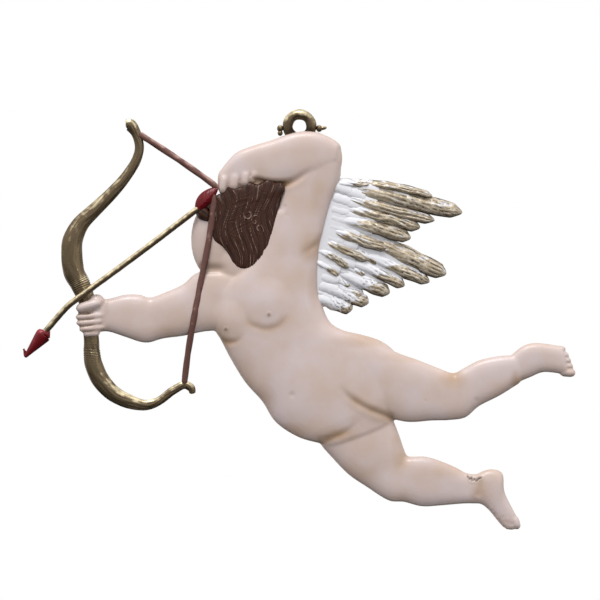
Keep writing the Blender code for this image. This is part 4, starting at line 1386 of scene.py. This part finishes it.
@dataclass
class PaintShop:
    """Makes each zone's material once."""

    made: dict[Zone, bpy.types.Material] = field(default_factory=dict)

    def material(self, zone: Zone) -> bpy.types.Material:
        """Gives a zone's material.

        Args:
            zone: The paint zone.

        Returns:
            The zone's material.
        """
        if zone not in self.made:
            self.made[zone] = self.mix(zone, FINISHES[zone])
        return self.made[zone]

    def mix(self, zone: Zone, finish: Finish) -> bpy.types.Material:
        """Mixes a zone's paint.

        Args:
            zone: The paint zone.
            finish: Its colours and gloss.

        Returns:
            The new material.
        """
        material = bpy.data.materials.new(zone.value)
        material.use_nodes = True
        tree = material.node_tree
        shader = tree.nodes["Principled BSDF"]
        shader.inputs["Metallic"].default_value = finish.metallic
        place = add_node(tree, "TexCoord").outputs["Object"]
        makers = {Zone.FLESH: self.flesh, Zone.WING: self.wing}
        makers.get(zone, self.rubbed)(tree, shader, place, finish)
        return material

    def flesh(self, tree: bpy.types.NodeTree, shader: bpy.types.Node, place: bpy.types.NodeSocket,
              finish: Finish) -> None:
        """Satin enamel, brushed on thin over cast metal, with a warm wash wiped into the folds, and dark
        brown painted in as shade on the undersides and in the sharpest folds and as the nipples' and the
        chip's own dark.

        Args:
            tree: The material's nodes.
            shader: Its shader.
            place: Object coordinates.
            finish: The paint's colours and gloss.
        """
        mottle = add_node(tree, "TexNoise", {"Vector": place, "Scale": per(MOTTLE), "Detail": 3.0})
        mottled = add_node(tree, "MapRange", {
            "Value": mottle.outputs["Fac"], "From Min": 0.35, "From Max": 0.65,
        })
        base = add_node(tree, "Mix", {
            0: mottled.outputs["Result"], 6: linear(finish.body), 7: linear(finish.light),
        }, data_type="RGBA")
        patches = add_node(tree, "TexNoise", {"Vector": place, "Scale": per(WASH_PATCH), "Detail": 3.0})
        patchy = add_node(tree, "MapRange", {
            "Value": patches.outputs["Fac"], "From Min": 0.3, "From Max": 0.7, "To Min": 0.65, "To Max": 1.0,
        })
        held = add_node(tree, "Attribute", attribute_name="wash")
        wash = add_node(tree, "Math", {
            0: held.outputs["Fac"], 1: patchy.outputs["Result"],
        }, operation="MULTIPLY")
        washed = add_node(tree, "Mix", {
            0: wash.outputs[0], 6: base.outputs[2], 7: linear(finish.dark),
        }, data_type="RGBA")
        # Dark brown over the paint: painted shade on the undersides and in the sharpest folds, the nipples
        # and the paint chip
        dirt = add_node(tree, "Attribute", attribute_name="dirt")
        shaded_and_marked = add_node(tree, "Mix", {
            0: dirt.outputs["Fac"], 6: washed.outputs[2], 7: linear(SHADE_AND_MARK_BROWN),
        }, data_type="RGBA")
        tree.links.new(shaded_and_marked.outputs[2], shader.inputs["Base Color"])
        brushed = add_node(tree, "TexNoise", {"Vector": place, "Scale": per(BRUSH_GRAIN), "Detail": 4.0})
        gloss = add_node(tree, "MapRange", {
            "Value": brushed.outputs["Fac"], "From Min": 0.3, "From Max": 0.7,
            "To Min": finish.roughness - 0.05, "To Max": finish.roughness + 0.07,
        })
        tree.links.new(gloss.outputs["Result"], shader.inputs["Roughness"])
        bump = add_node(tree, "Bump", {
            "Height": brushed.outputs["Fac"], "Strength": 0.3, "Distance": 0.03 * MM,
        })
        tree.links.new(bump.outputs["Normal"], shader.inputs["Normal"])
        shader.inputs["Coat Weight"].default_value = 0.15
        shader.inputs["Coat Roughness"].default_value = 0.2

    def wing(self, tree: bpy.types.NodeTree, shader: bpy.types.Node, place: bpy.types.NodeSocket,
             finish: Finish) -> None:
        """White enamel, dry-brushed with gold on the raised barbs, with umber left in the grooves; umber is
        also painted as shade along each feather's lower edge and on the plates in the gaps, and white as a
        highlight along the upper edges.

        Args:
            tree: The material's nodes.
            shader: Its shader.
            place: Object coordinates.
            finish: The paint's colours and gloss.
        """
        along = add_node(tree, "Mapping", {
            "Vector": place, "Rotation": (0.0, math.radians(FEATHER_SLOPE), 0.0), "Scale": (5.0, 1.0, 1.0),
        }, vector_type="TEXTURE").outputs["Vector"]
        streak = add_node(tree, "TexNoise", {"Vector": along, "Scale": per(GOLD_STREAK), "Detail": 4.0})
        broken = add_node(tree, "MapRange", {
            "Value": streak.outputs["Fac"], "From Min": 0.35, "From Max": 0.55, "To Min": 0.4, "To Max": 1.0,
        })
        held = add_node(tree, "Attribute", attribute_name="gold")
        gold = add_node(tree, "Math", {
            0: held.outputs["Fac"], 1: broken.outputs["Result"],
        }, operation="MULTIPLY")
        brushed = add_node(tree, "MapRange", {
            "Value": gold.outputs[0], "From Min": 0.15, "From Max": 0.6,
        })
        wear = add_node(tree, "TexNoise", {"Vector": along, "Scale": per(WORN_STREAK), "Detail": 4.0})
        worn = add_node(tree, "MapRange", {
            "Value": wear.outputs["Fac"], "From Min": 0.45, "From Max": 0.65,
        })
        golds = add_node(tree, "Mix", {
            0: worn.outputs["Result"], 6: linear(finish.light), 7: linear(WORN_GOLD),
        }, data_type="RGBA")
        base = add_node(tree, "Mix", {
            0: brushed.outputs["Result"], 6: linear(finish.body), 7: golds.outputs[2],
        }, data_type="RGBA")
        # Umber in the barbs' grooves, and painted shade along the feathers' lower edges and on the plates
        # between them
        ridge = add_node(tree, "Attribute", attribute_name="ridge")
        umber = add_node(tree, "MapRange", {
            "Value": ridge.outputs["Fac"], "From Min": 0.1, "From Max": 0.9, "To Min": 1.0, "To Max": 0.0,
        })
        lined = add_node(tree, "Mix", {
            0: umber.outputs["Result"], 6: base.outputs[2], 7: linear(finish.dark),
        }, data_type="RGBA")
        tree.links.new(lined.outputs[2], shader.inputs["Base Color"])
        metal = add_node(tree, "MapRange", {"Value": brushed.outputs["Result"], "To Max": 0.4})
        tree.links.new(metal.outputs["Result"], shader.inputs["Metallic"])
        shader.inputs["Roughness"].default_value = finish.roughness
        chalk = add_node(tree, "TexNoise", {"Vector": place, "Scale": per(CHALK), "Detail": 4.0})
        bump = add_node(tree, "Bump", {
            "Height": chalk.outputs["Fac"], "Strength": 0.5, "Distance": 0.04 * MM,
        })
        tree.links.new(bump.outputs["Normal"], shader.inputs["Normal"])

    def rubbed(self, tree: bpy.types.NodeTree, shader: bpy.types.Node, place: bpy.types.NodeSocket,
               finish: Finish) -> None:
        """Paint laid on dark and rubbed back, so that ridges catch the lighter colour and hollows stay dark.
        The same value also carries painted light: highlights on the upper sides of the bars, eye and knobs
        and along the hair's fine lines, and shade on their undersides.

        Args:
            tree: The material's nodes.
            shader: Its shader.
            place: Object coordinates.
            finish: The paint's colours and gloss.
        """
        patches = add_node(tree, "TexNoise", {
            "Vector": place, "Scale": per(RUBBED_PATCH), "Detail": 4.0,
        })
        uneven = add_node(tree, "MapRange", {
            "Value": patches.outputs["Fac"], "From Min": 0.35, "From Max": 0.65,
            "To Min": -finish.patchiness, "To Max": finish.patchiness,
        })
        ridge = add_node(tree, "Attribute", attribute_name="ridge")
        height = add_node(tree, "Math", {
            0: ridge.outputs["Fac"], 1: uneven.outputs["Result"],
        }, operation="ADD").outputs[0]
        covered = add_node(tree, "MapRange", {"Value": height, "From Min": 0.15, "From Max": 0.5})
        base = add_node(tree, "Mix", {
            0: covered.outputs["Result"], 6: linear(finish.dark), 7: linear(finish.body),
        }, data_type="RGBA")
        # Pale where the relief is rubbed back, and where a highlight is painted on
        pale_rub_and_highlight = add_node(tree, "MapRange", {"Value": height, "From Min": 0.75, "From Max": 1.05})
        worn = add_node(tree, "Mix", {
            0: pale_rub_and_highlight.outputs["Result"], 6: base.outputs[2], 7: linear(finish.light),
        }, data_type="RGBA")
        tree.links.new(worn.outputs[2], shader.inputs["Base Color"])
        fine = add_node(tree, "TexNoise", {"Vector": place, "Scale": per(RUBBED_GRAIN), "Detail": 4.0})
        gloss = add_node(tree, "MapRange", {
            "Value": fine.outputs["Fac"], "From Min": 0.3, "From Max": 0.7,
            "To Min": finish.roughness - 0.06, "To Max": finish.roughness + 0.1,
        })
        tree.links.new(gloss.outputs["Result"], shader.inputs["Roughness"])
        bump = add_node(tree, "Bump", {
            "Height": fine.outputs["Fac"], "Strength": 0.4, "Distance": 0.04 * MM,
        })
        tree.links.new(bump.outputs["Normal"], shader.inputs["Normal"])
        shader.inputs["Specular IOR Level"].default_value = 0.25


@dataclass(frozen=True)
class Lamp:
    """A square soft light.

    Attributes:
        name: The light's name.
        offset: Where it stands from the middle of the picture, in metres.
        size: Its side, in metres.
        power: Its power, in watts.
    """

    name: str
    offset: tuple[float, float, float]
    size: float
    power: float


LAMPS = (Lamp("key", (-0.12, -0.4, 0.8), 0.3, 5.0), Lamp("fill", (0.5, -0.7, 0.15), 0.5, 0.6))


@dataclass
class Studio:
    """A plain bright studio: a white surround, a pale floor, a key from above and a square-on camera.

    Attributes:
        floor_paint: The floor's colour.
        behind: Heights of view over which the surround behind turns white, and its strengths there.
        before: The same of the surround in front.
        turn: How far round the surround in front gives way to the one behind.
        sensor: Width of the camera's sensor, in mm.
    """

    floor_paint: str = "#DCDCDC"
    behind: tuple[float, float, float, float] = (-0.62, -0.48, 0.04, 1.0)
    before: tuple[float, float, float, float] = (-0.45, 0.5, 0.12, 1.4)
    turn: tuple[float, float, float, float] = (-0.3, 0.15, 0.0, 1.0)
    sensor: float = 36.0

    def light(self, lamp: Lamp) -> None:
        """Adds a square soft light that points at the middle of the picture.

        Args:
            lamp: The light's place, size and power.
        """
        data = bpy.data.lights.new(lamp.name, "AREA")
        data.size = lamp.size
        data.energy = lamp.power
        stand = bpy.data.objects.new(lamp.name, data)
        stand.location = PICTURE_MIDDLE + Vector(lamp.offset)
        stand.rotation_euler = (-Vector(lamp.offset)).to_track_quat("-Z", "Y").to_euler()
        bpy.context.scene.collection.objects.link(stand)

    def surround(self) -> None:
        """Makes the surround white behind, and in front bright above and dim below, as over a table."""
        world = bpy.data.worlds.new("surround")
        world.use_nodes = True
        tree = world.node_tree
        direction = add_node(tree, "TexCoord").outputs["Generated"]
        parts = add_node(tree, "SeparateXYZ", {0: direction}).outputs
        ranges = []
        for axis, (low, high, least, most) in (("Z", self.before), ("Z", self.behind), ("Y", self.turn)):
            ranges.append(add_node(tree, "MapRange", {
                "Value": parts[axis], "From Min": low, "From Max": high, "To Min": least, "To Max": most,
            }).outputs["Result"])
        before, behind, share = ranges
        mixer = add_node(tree, "Mix", {0: share, 2: before, 3: behind})
        tree.nodes["Background"].inputs["Color"].default_value = (1.0, 1.0, 1.0, 1.0)
        tree.links.new(mixer.outputs[0], tree.nodes["Background"].inputs["Strength"])
        bpy.context.scene.world = world

    def floor(self) -> None:
        """Lays the pale floor well below the ornament."""
        mesh = bmesh.new()
        bmesh.ops.create_grid(mesh, x_segments=8, y_segments=8, size=FLOOR_HALF_WIDTH,
                              matrix=Matrix.Translation((0.0, 0.0, FLOOR_Z)))
        data = bpy.data.meshes.new("floor")
        mesh.to_mesh(data)
        mesh.free()
        paint = bpy.data.materials.new("floor")
        paint.use_nodes = True
        paint.node_tree.nodes["Principled BSDF"].inputs["Base Color"].default_value = linear(self.floor_paint)
        paint.node_tree.nodes["Principled BSDF"].inputs["Roughness"].default_value = 0.9
        data.materials.append(paint)
        floor = bpy.data.objects.new("floor", data)
        bpy.context.scene.collection.objects.link(floor)

    def camera(self) -> None:
        """Stands the camera square to the front, with a long lens."""
        lens = bpy.data.cameras.new("camera")
        lens.sensor_width = self.sensor
        lens.lens = self.sensor * CAMERA_DISTANCE / PICTURE_WIDTH
        lens.clip_start = 0.05
        stand = bpy.data.objects.new("camera", lens)
        stand.location = PICTURE_MIDDLE + Vector((0.0, -CAMERA_DISTANCE, 0.0))
        stand.rotation_euler = (math.pi / 2, 0.0, 0.0)
        bpy.context.scene.collection.objects.link(stand)
        bpy.context.scene.camera = stand

    def build(self) -> None:
        """Sets up the whole studio."""
        bpy.context.scene.view_settings.view_transform = "Standard"
        self.surround()
        self.floor()
        for lamp in LAMPS:
            self.light(lamp)
        self.camera()


def build_pieces(kinds: Iterable[type[Piece]], paints: PaintShop) -> None:
    """Builds each paint zone in turn.

    Args:
        kinds: The classes of the zones.
        paints: Where their materials come from.
    """
    for kind in kinds:
        kind().build(paints)


def main() -> None:
    """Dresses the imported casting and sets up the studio."""
    logging.basicConfig(level=logging.INFO, format="%(name)s: %(message)s")
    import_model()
    pieces = (Flesh, Hair, Wing, Bow, Bowstring, ArrowShaft, ArrowHead, Fletching, HangingEye)
    build_pieces(pieces, PaintShop())
    Studio().build()


if __name__ == "__main__":
    main()
